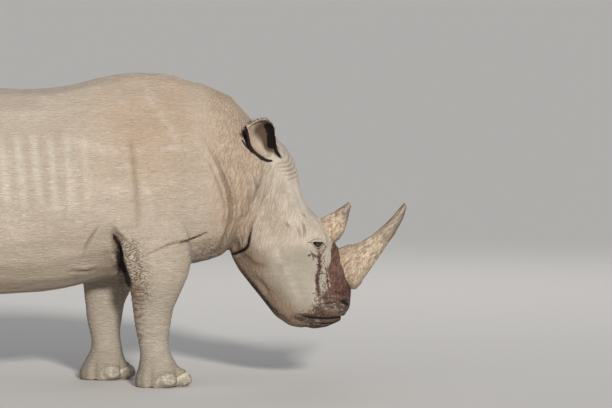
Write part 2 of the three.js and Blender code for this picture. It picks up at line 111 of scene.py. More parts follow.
# The head's own axes: along runs from the poll to the lips, dorsal towards the horns.
HEAD_PITCH = math.radians(74)
POLL = np.array([759.0, 0.0, 1283.0])
ALONG = np.array([math.cos(HEAD_PITCH), 0.0, -math.sin(HEAD_PITCH)])
DORSAL = np.array([math.sin(HEAD_PITCH), 0.0, math.cos(HEAD_PITCH)])
ACROSS = np.array([0.0, 1.0, 0.0])


def on_head(along, dorsal, left=0.0):
    return POLL + ALONG * along + DORSAL * dorsal + ACROSS * left


# ---- Arrays ------------------------------------------------------------------------------------


def smoothstep(low, high, value):
    """0 up to low and 1 from high on, with a smooth rise between them."""
    t = np.clip((value - low) / (high - low), 0, 1)
    return t * t * (3 - 2 * t)


def window(start, full, fade, end, value):
    """1 from full to fade, and 0 before the start and after the end."""
    return smoothstep(start, full, value) * (1 - smoothstep(fade, end, value))


def bell(distance, width):
    return np.exp(-((distance / width) ** 2))


def oval(ahead, up, reach_ahead, reach_up):
    return np.exp(-((ahead / reach_ahead) ** 2) - (up / reach_up) ** 2)


def turned(ahead, up, degrees):
    """Two coordinates in axes that are turned by an angle."""
    c, s = math.cos(math.radians(degrees)), math.sin(math.radians(degrees))
    return ahead * c + up * s, up * c - ahead * s


def unit(vectors):
    return vectors / np.linalg.norm(vectors, axis=-1, keepdims=True)


def spline(points, per_span=8):
    """A smooth curve through the points, which may have any number of columns."""
    points = np.asarray(points, float)
    if len(points) < 3:
        return points
    ends = np.vstack([2 * points[0] - points[1], points, 2 * points[-1] - points[-2]])
    t = np.linspace(0, 1, per_span, endpoint=False)[:, None]
    spans = []
    for a, b, c, d in zip(ends, ends[1:], ends[2:], ends[3:]):
        bend = (2 * a - 5 * b + 4 * c - d) * t**2 + (3 * b - a - 3 * c + d) * t**3
        spans.append(0.5 * (2 * b + (c - a) * t + bend))
    return np.vstack([*spans, points[-1:]])


def noise(points, size, seed=0):
    """Smooth noise from -1 to 1 whose cells have the given size, or one size along x, y and z."""
    q = points / np.asarray(size, float)
    cell = np.floor(q)
    f = q - cell
    f = f * f * (3 - 2 * f)
    cell = cell.astype(np.int64)
    total = np.zeros(len(points))
    for corner in np.ndindex(2, 2, 2):
        key = (cell + corner) @ np.array([374761393, 668265263, 1440662683]) + seed * 97531
        key = (key ^ (key >> 13)) * 1274126177 & 0xFFFFFFFF
        value = ((key ^ (key >> 16)) & 0xFFFF) / 32767.5 - 1
        total += value * np.where(corner, f, 1 - f).prod(axis=1)
    return total


def ridged(points, size, seed=0):
    """Narrow valleys at 0 between broad swellings that reach 1."""
    return np.clip(np.abs(noise(points, size, seed)) * 2.2, 0, 1)


FAR = 1e9  # a distance that no mark reaches


def along_line(points, line, reach):
    """For points in a plane: distance to a line, its strength there, and the side of it."""
    path = spline(line)
    distance = np.full(len(points), FAR)
    strength, side = np.zeros((2, len(points)))
    low, high = path[:, :2].min(0) - reach, path[:, :2].max(0) + reach
    near = np.flatnonzero(((points > low) & (points < high)).all(axis=1))
    p = points[near]
    best = distance[near]
    for a, b in zip(path, path[1:]):
        run = b[:2] - a[:2]
        t = np.clip((p - a[:2]) @ run / max(run @ run, 1e-9), 0, 1)
        away = p - a[:2] - t[:, None] * run
        d = np.hypot(*away.T)
        closer = d < best
        best = np.where(closer, d, best)
        strength[near] = np.where(closer, a[2] + t * (b[2] - a[2]), strength[near])
        side[near] = np.where(closer, np.sign(run[0] * away[:, 1] - run[1] * away[:, 0]), side[near])
    distance[near] = best
    return distance, strength, side


# ---- Meshes ------------------------------------------------------------------------------------


def link(name, data):
    """A new object in the scene."""
    piece = bpy.data.objects.new(name, data)
    bpy.context.scene.collection.objects.link(piece)
    return piece


def finish_piece(piece, nodes, material):
    """Dresses a piece, sets it on the body, and hides the nodes that it stands for."""
    piece.data.materials.clear()
    piece.data.materials.append(material)
    piece.data.polygons.foreach_set("use_smooth", [True] * len(piece.data.polygons))
    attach(piece, "root")
    if nodes:
        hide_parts(*nodes)


def mesh_of(name, points, faces):
    """A mesh from points in the tables' millimetres."""
    mesh = bpy.data.meshes.new(name)
    mesh.from_pydata(to_frame(points).tolist(), [], faces)
    mesh.update()
    return mesh


def skinned_rings(rings):
    """Points and faces of a closed tube through rings of equal length, with a fan at each end."""
    count, around, _ = rings.shape
    points = np.vstack([rings.reshape(-1, 3), rings[0].mean(0), rings[-1].mean(0)])
    pairs = [(j, (j + 1) % around) for j in range(around)]
    starts = [i * around for i in range(count)]
    faces = [(a + j, a + k, b + k, b + j) for a, b in zip(starts, starts[1:]) for j, k in pairs]
    first, last = count * around, count * around + 1
    for j, k in pairs:
        faces += [(first, k, j), (last, starts[-1] + j, starts[-1] + k)]
    return points, faces


def closed_piece(name, points, faces, slot, node, material, **marks):
    """A closed piece in place of one node, with attributes that its material reads."""
    mesh = mesh_of(name, points, faces)
    bm = bmesh.new()
    bm.from_mesh(mesh)
    bmesh.ops.recalc_face_normals(bm, faces=bm.faces)
    bm.to_mesh(mesh)
    bm.free()
    for mark, values in marks.items():
        set_attribute(mesh, mark, values)
    finish_piece(link(name, mesh), [node], material)


def set_attribute(mesh, name, values):
    attribute = mesh.attributes.new(name, "FLOAT", "POINT")
    attribute.data.foreach_set("value", np.asarray(values, np.float32))


def vectors_of(items, name):
    """The named vector of each vertex or normal, as rows."""
    flat = np.empty(len(items) * 3, np.float32)
    items.foreach_get(name, flat)
    return flat.reshape(-1, 3).astype(float)


def set_places(mesh, metres):
    mesh.vertices.foreach_set("co", metres.astype(np.float32).ravel())
    mesh.update()


class Clay:
    """A mesh that is worked as arrays, in the tables' millimetres."""

    def __init__(self, mesh):
        self.mesh = mesh
        self.read()

    def read(self):
        """Reads the points and their neighbours."""
        count = len(self.mesh.vertices)
        self.p = to_table(vectors_of(self.mesh.vertices, "co"))
        edges = np.empty(len(self.mesh.edges) * 2, np.int32)
        self.mesh.edges.foreach_get("vertices", edges)
        self.a, self.b = edges.reshape(-1, 2).T
        self.links = np.bincount(self.a, minlength=count) + np.bincount(self.b, minlength=count)
        self.refresh()

    def refresh(self):
        """Writes the points back and reads the normals anew."""
        set_places(self.mesh, to_frame(self.p))
        self.n = vectors_of(self.mesh.vertex_normals, "vector")

    def averaged(self, values):
        """Each point's mean over its neighbours."""
        count = len(self.p)
        total = np.bincount(self.a, values[self.b], count) + np.bincount(self.b, values[self.a], count)
        return total / np.maximum(self.links, 1)

    def relaxed(self, columns, weight, rounds):
        made = columns.copy()
        for _ in range(rounds):
            for i in range(made.shape[1]):
                made[:, i] += weight * (self.averaged(made[:, i]) - made[:, i])
        return made

    def smooth(self, weight, rounds):
        """Takes out facets and keeps the broad form, by giving back what the first pass shrank."""
        once = self.relaxed(self.p, weight, rounds)
        self.p = once + self.relaxed(self.p - once, weight, rounds)
        self.refresh()

    def push(self, amount):
        """Moves the points out along their normals."""
        self.p += self.n * np.reshape(amount, (-1, 1))
        self.refresh()

    @property
    def outwards(self):
        """How far the surface faces away from the midline."""
        return self.n[:, 1] * np.where(self.p[:, 1] < 0, -1.0, 1.0)

    @property
    def profile(self):
        """The points as seen from the side: x and z."""
        return self.p[:, [0, 2]]

    def head_axes(self):
        """Places along the head from the poll, and towards the horns."""
        away = self.p - POLL
        return away @ ALONG, away @ DORSAL


# ---- Skin: the base form -----------------------------------------------------------------------

SWELL = 2.5  # how far each node grows so that the parting gaps close
MERGE = 1e-5  # metres between corners that are one
HEAD_FINENESS = 1.8  # how much closer the head's points lie than the trunk's
WARP_X = np.linspace(-2.4, 2.4, 2401)  # metres along the frame's x
WARP_SCALE = 1 + (HEAD_FINENESS - 1) * smoothstep(0.38, 0.78, WARP_X)
WARP_RUN = np.concatenate([[0], np.cumsum((WARP_SCALE[1:] + WARP_SCALE[:-1]) / 2 * np.diff(WARP_X))])

# A plane just under the hide for each horn, below which the horn's seat is filled.
HORN_SEATS = {
    "front_horn": (on_head(730, 222), DORSAL),
    "rear_horn": (on_head(524, 184), DORSAL * 0.96 - ALONG * 0.28),
}

EYE = {side: node_centre(f"eye_{side}") for side in SIDES}
NOSTRIL = {side: on_head(921, 180, sign * 130) for side, sign in SIDES.items()}
# How far from each eye and nostril the skin is divided once more, and then once again.
FINE_REACHES = [(95, 85), (58, 55)]


def node_solid(name, swell=0):
    """A node's solid, grown along its normals."""
    bm = bmesh.new()
    bm.from_mesh(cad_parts[name].data)
    bmesh.ops.remove_doubles(bm, verts=bm.verts, dist=MERGE)
    bm.normal_update()
    moves = [v.normal * (swell * MM) for v in bm.verts]
    for vertex, move in zip(bm.verts, moves):
        vertex.co += move
    return bm


def seat_plug(name):
    """The buried part of a horn."""
    point, normal = HORN_SEATS[name]
    bm = node_solid(name, SWELL)
    whole = [*bm.verts, *bm.edges, *bm.faces]
    cut = bmesh.ops.bisect_plane(bm, geom=whole, plane_co=to_frame(point), plane_no=normal, clear_outer=True)
    rim = [item for item in cut["geom_cut"] if isinstance(item, bmesh.types.BMEdge)]
    bmesh.ops.holes_fill(bm, edges=rim, sides=0)
    return bm


def flesh_mesh():
    """All the nodes that the skin covers, and the horns' seats, in one mesh."""
    whole = bmesh.new()
    parts = [node_solid(name, SWELL) for name in FLESH + EYES + NAILS]
    parts += [seat_plug(name) for name in HORN_SEATS]
    for part in parts:
        holder = bpy.data.meshes.new("part")
        part.to_mesh(holder)
        part.free()
        whole.from_mesh(holder)
        bpy.data.meshes.remove(holder)
    mesh = bpy.data.meshes.new("flesh")
    whole.to_mesh(mesh)
    whole.free()
    return mesh


def warp(mesh, back=False):
    """Enlarges the head's end of space, or undoes it, so that one remesh has finer faces there."""
    co = vectors_of(mesh.vertices, "co")
    if back:
        co[:, 0] = np.interp(co[:, 0], WARP_RUN + WARP_X[0], WARP_X)
        co[:, 1:] /= np.interp(co[:, 0], WARP_X, WARP_SCALE)[:, None]
    else:
        co[:, 1:] *= np.interp(co[:, 0], WARP_X, WARP_SCALE)[:, None]
        co[:, 0] = np.interp(co[:, 0], WARP_X, WARP_RUN + WARP_X[0])
    set_places(mesh, co)


def modified(mesh, kind, **settings):
    """A copy of the mesh with one modifier applied."""
    piece = link("flesh", mesh)
    modifier = piece.modifiers.new(kind.lower(), kind)
    for name, value in settings.items():
        setattr(modifier, name, value)
    graph = bpy.context.evaluated_depsgraph_get()
    made = bpy.data.meshes.new_from_object(piece.evaluated_get(graph))
    bpy.data.objects.remove(piece)
    return made


def remeshed(mesh, voxel):
    split = modified(mesh, "SUBSURF", subdivision_type="SIMPLE", levels=2)
    warp(split)
    made = modified(split, "REMESH", mode="VOXEL", voxel_size=voxel)
    warp(made, back=True)
    return made


def refine(mesh, centres, reaches):
    """Divides the faces within reach of the centres once."""
    clay = to_table(vectors_of(mesh.vertices, "co"))
    near = np.zeros(len(clay), bool)
    for centre, reach in zip(centres, reaches):
        near |= np.linalg.norm(clay - centre, axis=1) < reach
    bm = bmesh.new()
    bm.from_mesh(mesh)
    edges = [e for e in bm.edges if near[e.verts[0].index] and near[e.verts[1].index]]
    bmesh.ops.subdivide_edges(bm, edges=edges, cuts=1, use_grid_fill=True)
    bm.to_mesh(mesh)
    bm.free()
    mesh.update()


def base_skin(voxel):
    """The nodes of flesh as one smooth mesh, finest round the eyes and the nostrils."""
    clay = Clay(remeshed(flesh_mesh(), voxel * MM))
    ears = smoothstep(0.2, 0.4, ear_share(clay.p))
    nose = sum(bell(np.linalg.norm(clay.p - spot, axis=1), 60) for spot in NOSTRIL.values())
    feet = 1 - smoothstep(60, 170, clay.p[:, 2])
    weight = 0.6 * (1 - 0.9 * ears) * (1 - 0.8 * np.clip(nose, 0, 1)) * (1 - 0.75 * feet)
    clay.smooth(weight, 40)
    clay.smooth(0.5, 3)
    for eye_reach, nose_reach in FINE_REACHES:
        reaches = [eye_reach] * len(EYE) + [nose_reach] * len(NOSTRIL)
        refine(clay.mesh, [*EYE.values(), *NOSTRIL.values()], reaches)
    clay.read()
    clay.smooth(0.5, 2)
    clay.push(-SWELL)
    return clay


# ---- Skin: the ears ----------------------------------------------------------------------------

LEFT_EAR_DROP = 44.0  # how much lower the left ear's tip is than the right one's
EAR_ROOT_X, EAR_TIP_X = 840.0, 645.0
EAR_BOW = 24.0  # how far an ear bends back at the middle of its length
EAR_SLACK = 14  # how far outside its sections a point still belongs to an ear

# An ear from its stalk to its tip: share of its length, half width, shift of the middle towards the
# front margin, depth of the leaf behind its midline, and how far its rim stands forward.
EAR_SECTIONS = np.array([
    [0.0, 34, 0, 34, 32], [0.18, 35, 4, 38, 34], [0.28, 44, 11, 44, 34], [0.38, 68, 25, 52, 30],
    [0.46, 86, 36, 58, 28], [0.55, 96, 40, 60, 24], [0.68, 95, 39, 56, 20], [0.79, 77, 42, 46, 15],
    [0.87, 54, 34, 34, 12], [0.94, 30, 20, 24, 10], [1.0, 8, 4, 12, 6]])
# The middle of the blackest strip of an ear, the painted shadow of its front margin in the cup, as [share of
# its length, place across].
EAR_STRIP = np.array([[0.2, 0.45], [0.27, 0.55], [0.31, 0.63], [0.35, 0.71], [0.45, 0.77], [0.6, 0.82]])


def ear_frame(side):
    """Root and length of an ear, and its axes: to its tip, the way it faces, and across it."""
    sign = SIDES[side]
    root = np.array([EAR_ROOT_X, sign * 85.0, 1195.0])
    tip = np.array([EAR_TIP_X, sign * 290.0, 1424.0 - LEFT_EAR_DROP * (side == "left")])
    along = unit(tip - root)
    opening = np.array([0.3, sign * 0.9, 0.2])
    opening = unit(opening - along * (opening @ along))
    return root, np.linalg.norm(tip - root), along, opening, np.cross(along, opening) * -sign


def ear_places(p, side):
    """Places in an ear: share of its length, across from -1 to 1 at its margins, depth, and if inside."""
    root, length, along, opening, upper = ear_frame(side)
    away = p - root
    share = away @ along / length
    columns = EAR_SECTIONS.T
    half, shift, back, rim = (np.interp(share, columns[0], column) for column in columns[1:])
    depth = away @ opening + EAR_BOW * np.sin(np.clip(share, 0, 1) * np.pi)
    across = (away @ upper - shift) / half
    held = (share > 0) & (share < 1.1) & (np.abs(across) < 1 + EAR_SLACK / half)
    held &= (depth < rim + EAR_SLACK) & (depth > -back - EAR_SLACK) & (p[:, 1] * SIDES[side] > 60)
    return share, across, depth, held


def ear_share(p):
    """How far along an ear each point lies, from 0 at the head to 1 at the tip, and 0 elsewhere."""
    whole = np.zeros(len(p))
    for side in SIDES:
        share, _, _, held = ear_places(p, side)
        whole = np.where(held, np.clip(share, 0, 1), whole)
    return whole


def walls_behind(clay, spots, direction):
    """How thick the flesh is behind the chosen points, looking along a direction."""
    bm = bmesh.new()
    bm.from_mesh(clay.mesh)
    tree = BVHTree.FromBMesh(bm)
    bm.free()
    thick = np.full(len(clay.p), FAR)
    for spot in spots:
        start = Vector(to_frame(clay.p[spot] + 0.5 * direction))
        distance = tree.ray_cast(start, Vector(direction))[3]
        thick[spot] = FAR if distance is None else distance / MM
    return thick


def ear_hollows(clay):
    """Deepens each ear's cup behind its front margin. Returns the painted shade in its cup and the dark hair
    and painted shadow of its rear rim, and its bowl.
    """
    dark, inside = np.zeros((2, len(clay.p)))
    for side in SIDES:
        share, across, depth, held = ear_places(clay.p, side)
        opening = ear_frame(side)[3]
        facing = clay.n @ opening
        brim = 12 + 34 * (1 - smoothstep(0.35, 0.55, share))
        middle = 0.50 - 0.25 * (1 - smoothstep(0.15, 0.5, share))
        cup = bell(across - middle, 0.30) * window(0.04, 0.22, 0.80, 0.97, share)
        cup *= smoothstep(-0.5, 0.2, facing) * (1 - smoothstep(brim - 20, brim, depth)) * held
        depths = cup * (9 + 13 * (1 - smoothstep(0.3, 0.5, share)))
        walls = walls_behind(clay, np.flatnonzero(depths > 0.05), -opening)
        clay.p -= np.outer(np.minimum(depths, 0.6 * np.maximum(walls - 3, 0)), opening)
        # painted shade, brown, in the cup behind the front margin
        brown = smoothstep(-0.45, 0.22, across) * window(0.18, 0.32, 0.66, 0.84, share)
        strip = np.interp(share, *EAR_STRIP.T)
        # painted shadow of the front margin, black
        black = bell(across - strip, 0.32) * window(0.12, 0.22, 0.58, 0.74, share)
        cupped = smoothstep(-0.9, -0.2, facing) * (1 - smoothstep(brim - 10, brim + 10, depth)) * held
        # the rear rim's dark hair and painted shadow
        rim = bell(across + 1.0, 0.08) * window(0.25, 0.4, 0.88, 1.0, share) * held
        dark = np.maximum.reduce([dark, np.maximum(0.62 * brown, black) * cupped, rim])
        bowl = (1 - smoothstep(0.76, 0.96, np.abs(across))) * window(0.0, 0.08, 0.5, 0.65, share) * held
        inside = np.maximum(inside, bowl * smoothstep(0.0, 0.3, facing))
    clay.refresh()
    return dark, inside


# ---- Skin: muscles and folds -------------------------------------------------------------------

# Broad swellings and hollows on both sides: [x, z], [radius x, radius z], tilt in degrees, height.
SWELLINGS = [
    ([150, 1180], [230, 300], 10, 15),  # shoulder blade
    ([60, 830], [150, 150], 0, 12),  # point of the elbow and upper arm
    ([255, 760], [120, 130], 0, 8),  # front of the upper arm
    ([-1090, 1440], [120, 90], 0, 16),  # point of the hip
    ([-1330, 1010], [210, 300], -8, 18),  # thigh
    ([-960, 1190], [110, 210], 0, -16),  # hollow of the flank
    ([-1560, 1290], [110, 150], 0, 10),  # buttock
    ([-100, 1250], [90, 240], -4, -7),  # behind the shoulder
    ([470, 1350], [60, 170], 20, -8),  # ahead of the shoulder
    ([945, 880], [45, 110], 14, -7),  # temple
    ([905, 700], [80, 130], 0, 6),  # cheek
    ([1040, 830], [60, 34], -20, 7),  # brow
    ([1100, 640], [40, 100], 8, -6),  # side of the nose
]

# Folds on both sides: depth, half width, how high the skin beside it stands as a share of the
# depth, and the line as [x, z, strength].
FOLDS = {
    "front of the shoulder": (15, 10, 0.45, [
        [395, 1400, 0], [440, 1317, 0.35], [468, 1273, 0.6], [506, 1180, 0.9], [539, 1092, 1],
        [556, 998, 1], [556, 927, 1], [534, 850, 0.9], [506, 778, 0.8], [480, 722, 0.4]]),
    "shoulder, behind": (4, 5, 0.4, [
        [400, 1290, 0], [445, 1215, 0.8], [484, 1120, 1], [512, 1030, 1], [520, 930, 0.8], [508, 850, 0]]),
    "shoulder, ahead": (5, 5, 0.4, [
        [470, 1330, 0], [520, 1220, 0.8], [562, 1110, 1], [586, 1000, 1], [582, 920, 1],
        [552, 820, 0.8], [520, 740, 0]]),
    "neck, first": (4, 6, 0.4, [
        [610, 1260, 0], [640, 1160, 0.8], [658, 1060, 1], [655, 940, 0.8], [640, 850, 0]]),
    "neck, second": (4, 6, 0.4, [
        [575, 1300, 0], [604, 1180, 0.7], [620, 1060, 1], [620, 930, 0.6], [610, 850, 0]]),
    "under the ear, first": (3.5, 5, 0.4, [[668, 1200, 0], [688, 1140, 1], [702, 1070, 1], [700, 1010, 0]]),
    "under the ear, second": (3.5, 5, 0.4, [
        [745, 1200, 0], [728, 1130, 1], [708, 1060, 0.8], [698, 1000, 0]]),
    "under the ear, third": (3.5, 5, 0.4, [[790, 1170, 0], [768, 1100, 1], [735, 1030, 1], [712, 970, 0]]),
    "jowl": (16, 8, 0.45, [
        [745, 1060, 0], [714, 1005, 0.25], [688, 950, 0.4], [668, 885, 0.8], [656, 816, 1.1],
        [644, 760, 1.2], [612, 730, 1.1], [575, 714, 0.5]]),
    "armpit": (38, 20, 0.3, [
        [-80, 850, 0.2], [-64, 805, 0.8], [-54, 750, 1], [-46, 690, 1], [-40, 620, 1]]),
    "elbow": (7, 11, 0.3, [[-84, 900, 0], [-60, 850, 1], [0, 800, 0.8], [40, 720, 0]]),
    "behind the shoulder": (3, 20, 0.25, [
        [8, 1400, 0], [22, 1300, 0.8], [44, 1120, 1], [54, 960, 0.8], [52, 880, 0]]),
    "behind the shoulder, fine": (2, 4, 0.4, [
        [30, 1250, 0], [38, 1150, 1], [46, 1030, 1], [48, 930, 1], [46, 870, 0]]),
    "belly corner": (8, 8, 0.4, [[-130, 920, 0], [-175, 860, 0.7], [-220, 785, 1], [-245, 700, 0]]),
    "belly": (8, 9, 0.3, [[-330, 640, 0], [-300, 636, 0.7], [-220, 633, 1], [-165, 658, 0]]),
    "flank": (16, 24, 0.35, [
        [-1000, 1330, 0], [-1035, 1200, 0.4], [-1050, 1040, 0.8], [-1030, 900, 1],
        [-985, 780, 1], [-930, 690, 0.7], [-900, 640, 0]]),
    "flank, second": (6, 14, 0.3, [
        [-1110, 1100, 0], [-1120, 980, 0.8], [-1090, 850, 1], [-1040, 750, 0.8], [-1000, 690, 0]]),
    "buttock": (10, 16, 0.35, [
        [-1600, 1400, 0], [-1640, 1250, 0.8], [-1640, 1080, 1], [-1600, 930, 0.6], [-1560, 860, 0]]),
    "thigh": (9, 14, 0.35, [[-1330, 690, 0], [-1400, 660, 0.9], [-1500, 690, 1], [-1590, 760, 0]]),
    "temple": (9, 6, 0.4, [[855, 905, 0], [866, 880, 1], [884, 852, 0]]),
    "brow, first": (10, 5, 0.5, [[948, 905, 0], [957, 870, 1], [960, 835, 1], [955, 805, 0]]),
    "brow, second": (8, 5, 0.5, [[918, 880, 0], [930, 850, 1], [938, 820, 0.8], [940, 800, 0]]),
    "brow, third": (4, 6, 0.5, [[940, 950, 0], [960, 935, 1], [975, 918, 0]]),
    "behind the jaw": (12, 17, 0.3, [[700, 590, 0], [716, 560, 0.9], [745, 520, 1], [775, 470, 0]]),
    "jaw": (10, 13, 0.3, [[668, 560, 0], [690, 530, 1], [720, 480, 0.9], [745, 440, 0]]),
    "wing of the nose": (7, 8, 0.5, [
        [1125, 505, 0], [1140, 480, 0.9], [1165, 462, 1], [1205, 458, 0.8], [1225, 470, 0]]),
    "upper lip": (5, 8, 0.4, [[1040, 440, 0], [1080, 424, 1], [1140, 416, 1], [1190, 424, 0.4]]),
}
# Nested folds before the root of each ear, as [x, z, strength].
EAR_FOLDS = [
    [[812, 1240, 0.6], [843, 1244, 1], [853, 1276, 0.4]],
    [[806, 1216, 0.5], [838, 1219, 1], [866, 1224, 1], [876, 1248, 1], [868, 1282, 0.3]],
    [[800, 1196, 0.3], [843, 1197, 1], [880, 1203, 1], [894, 1232, 1], [884, 1270, 0.3]],
    [[812, 1176, 0.2], [862, 1175, 1], [898, 1183, 1], [910, 1214, 0.8]],
    [[830, 1154, 0.2], [874, 1151, 0.8], [912, 1161, 0.8]],
    [[842, 1131, 0.1], [880, 1128, 0.6], [918, 1138, 0.6]],
]
FOLDS.update({f"ear fold {i + 1}": (4.5, 5.5, 0.6, line) for i, line in enumerate(EAR_FOLDS)})
# The fold over the foreleg, whose upper side hangs over: depth, half width and line.
STEP = (13, 16, [
    [70, 722, 0], [114, 738, 0.25], [165, 764, 0.5], [236, 795, 0.8], [329, 808, 1], [400, 836, 1],
    [440, 850, 0]])
# The line between the lips.
MOUTH = [[915, 392, 0], [945, 380, 0.6], [990, 372, 1], [1080, 367, 1], [1200, 371, 1], [1240, 380, 0.8]]

RIB_SPACING, RIB_HEIGHT = 92, 1.5
RING_SPACING = 27  # between the wrinkles round a leg
NOSTRIL_TILT = -30  # degrees


def shape_muscles(clay):
    """Raises the broad swellings and sinks the hollows."""
    height = np.zeros(len(clay.p))
    for centre, radii, tilt, amount in SWELLINGS:
        height += amount * oval(*turned(*(clay.profile - centre).T, tilt), *radii)
    facing = smoothstep(0.05, 0.55, clay.outwards)
    clay.push(height * facing * (1 - smoothstep(0.05, 0.2, ear_share(clay.p))))


def rib_bands(clay):
    """-1 between the ribs and 1 over them, fading out round the rib cage."""
    x, z = clay.profile.T
    wave = np.sin((x + 0.12 * z) * 2 * np.pi / RIB_SPACING + 1.8 * noise(clay.p, [300, 300, 500], 3))
    held = window(-1000, -800, -300, -120, x) * window(960, 1080, 1330, 1430, z)
    return wave * held * smoothstep(0.3, 0.7, clay.outwards)


def cut_folds(clay, scale):
    """Cuts the folds and returns their painted shade, by how deep in a crease each point lies."""
    height, crease = np.zeros((2, len(clay.p)))
    wander = 0.35 * noise(clay.p, 70, 5)
    for depth, width, lip, line in FOLDS.values():
        distance, strength, _ = along_line(clay.profile, line, width * 6)
        distance = np.abs(distance + wander * width * (distance < width * 6))
        cut = bell(distance, width) * strength
        height += depth * (lip * bell(distance - 2.3 * width, 1.5 * width) * strength - cut)
        crease = np.maximum(crease, np.clip(cut * (0.35 + depth / 28), 0, 1))
    depth, width, line = STEP
    distance, strength, side = along_line(clay.profile, line, width * 5)
    above = bell(distance, width * 3) * (side > 0)
    below = bell(distance, width) * (side <= 0)
    height += depth * strength * (0.6 * above - below)
    crease = np.maximum(crease, bell(distance, 6) * strength)
    shown = smoothstep(-0.05, 0.3, clay.outwards) * (1 - smoothstep(0.08, 0.2, ear_share(clay.p)))
    clay.push(height * scale * shown)
    return crease * shown


def cut_mouth(clay):
    """Parts the lips and returns the painted shade of the line between them."""
    distance, strength, _ = along_line(clay.profile, MOUTH, 60)
    held = smoothstep(-0.2, 0.3, np.maximum(clay.outwards, clay.n[:, 0])) * strength
    clay.push((-10 * bell(distance, 6) + 4 * bell(distance - 15, 9)) * held)
    return (0.95 * bell(distance, 6) + 0.35 * bell(distance, 16)) * held


def cut_nostrils(clay):
    """Sinks a slit under a raised wing on each side of the muzzle, and returns the painted shade in the slit.
    """
    dark = np.zeros(len(clay.p))
    for side, sign in SIDES.items():
        away = clay.p - NOSTRIL[side]
        s, t = turned(away[:, 0], away[:, 2], NOSTRIL_TILT)
        near = 1 - smoothstep(70, 105, np.linalg.norm(away, axis=1))
        slit = np.exp(-((s / 29) ** 4) - ((t + 0.006 * s**2) / 11) ** 2) * near
        rolls = (7 * oval(s, t - 20, 42, 11) + 4 * oval(s, t + 20, 42, 12)) * near
        clay.p += np.outer(17 * slit - rolls, [-0.35, -sign * 0.93, 0.1])
        dark = np.maximum(dark, 1.1 * smoothstep(0.15, 0.9, slit))
    clay.refresh()
    return dark


BALL = 21.0  # radius of an eyeball
EYE_MIDDLE = -5.0  # how far ahead of the eyeball's centre the middle of its opening is
EYE_LENGTH = 27.0  # half of the opening between the lids, from corner to corner
LID_LEVEL = 8.0  # height of both corners above the middle of the eye
LID_ABOVE, LID_BELOW = 3.5, 23.0  # how far the opening rises above its corners and drops below them


def eye_place(clay, side):
    """Places round an eye: ahead, up, how far outside the opening, and how near to it."""
    away = clay.p - EYE[side]
    s = away[:, 0] - EYE_MIDDLE
    t = away[:, 2] - LID_LEVEL
    u = np.clip(np.abs(s) / EYE_LENGTH, 0, 1)
    beyond = np.maximum(np.abs(s) - EYE_LENGTH, 0)
    outside = 0.85 * np.maximum(t - LID_ABOVE * (1 - u**2), -LID_BELOW * (1 - u**1.7) - t)
    outside = np.where(beyond > 0, np.hypot(beyond, t), outside)
    near = 1 - smoothstep(85, 110, np.linalg.norm(away, axis=1))
    return s, t, outside, near * (away[:, 1] * SIDES[side] > -60)


def roll_eyelids(clay):
    """Sinks the skin between the lids, rolls them, and returns the painted shade round the eyes."""
    dark = np.zeros(len(clay.p))
    for side, sign in SIDES.items():
        s, t, outside, near = eye_place(clay, side)
        centre = EYE[side][1] * sign
        around = np.hypot(s + EYE_MIDDLE, t + LID_LEVEL)
        ball = centre + np.sqrt(np.clip(BALL**2 - around**2, 0, None))
        lid = np.maximum(ball + 3.5, centre + 15)
        above = smoothstep(-4, 4, t)
        upper = 5.0 * bell(outside - 5, 4) + 3.2 * bell(outside - 20, 6) + 1.2 * bell(outside - 34, 6)
        upper -= 4.0 * bell(outside - 12.5, 3) + 1.6 * bell(outside - 27, 3.2)
        lower = 3.0 * bell(outside - 5, 4) + 1.2 * bell(outside - 21, 5) - 2.0 * bell(outside - 13, 3.2)
        y = clay.p[:, 1] * sign
        y += (lid - y) * bell(np.maximum(outside, 0), 15) * near * 0.8
        y += (upper * above + lower * (1 - above) - 24 * (1 - smoothstep(-4.0, -0.5, outside))) * near
        clay.p[:, 1] = y * sign
        # painted shade between the lids, along lines from both corners, and in the crease of the upper lid
        edge = 1 - smoothstep(0.0, 4.5, outside)
        behind = 0.75 * bell(t + 0.08 * s, 3.2) * window(26, 36, 52, 66, -s)
        ahead = 0.8 * bell(t + 1.1 * (s - 24), 3.6) * window(20, 26, 42, 52, s)
        line = 0.3 * bell(outside - 12.5, 2.4) * above
        dark = np.maximum(dark, near * np.maximum.reduce([edge, behind, ahead, line]))
    clay.refresh()
    return dark


COLLAR = 26  # how far from a horn its collar of skin falls off


def heap_collars(clay):
    """Heaps the skin up against both horns, and says how near to a horn each point lies."""
    near = np.zeros(len(clay.p))
    for name in HORN_SEATS:
        bm = node_solid(name)
        tree = BVHTree.FromBMesh(bm)
        bm.free()
        low, high = node_box(name)
        for spot in np.flatnonzero(((clay.p > low - 60) & (clay.p < high + 60)).all(axis=1)):
            distance = tree.find_nearest(Vector(to_frame(clay.p[spot])))[3] / MM
            near[spot] = max(near[spot], bell(distance, COLLAR))
    clay.push(near * (5 + 3 * noise(clay.p, 16, 91)))
    return near


def leg_share(p):
    """1 on the legs below the trunk, 0 on the trunk."""
    x, _, z = p.T
    fore = (x > -300) & (x < 430)
    top = np.where(fore, 620.0, 600.0)
    return (1 - smoothstep(top - 120, top + 40, z)) * (fore | (x < -1000))


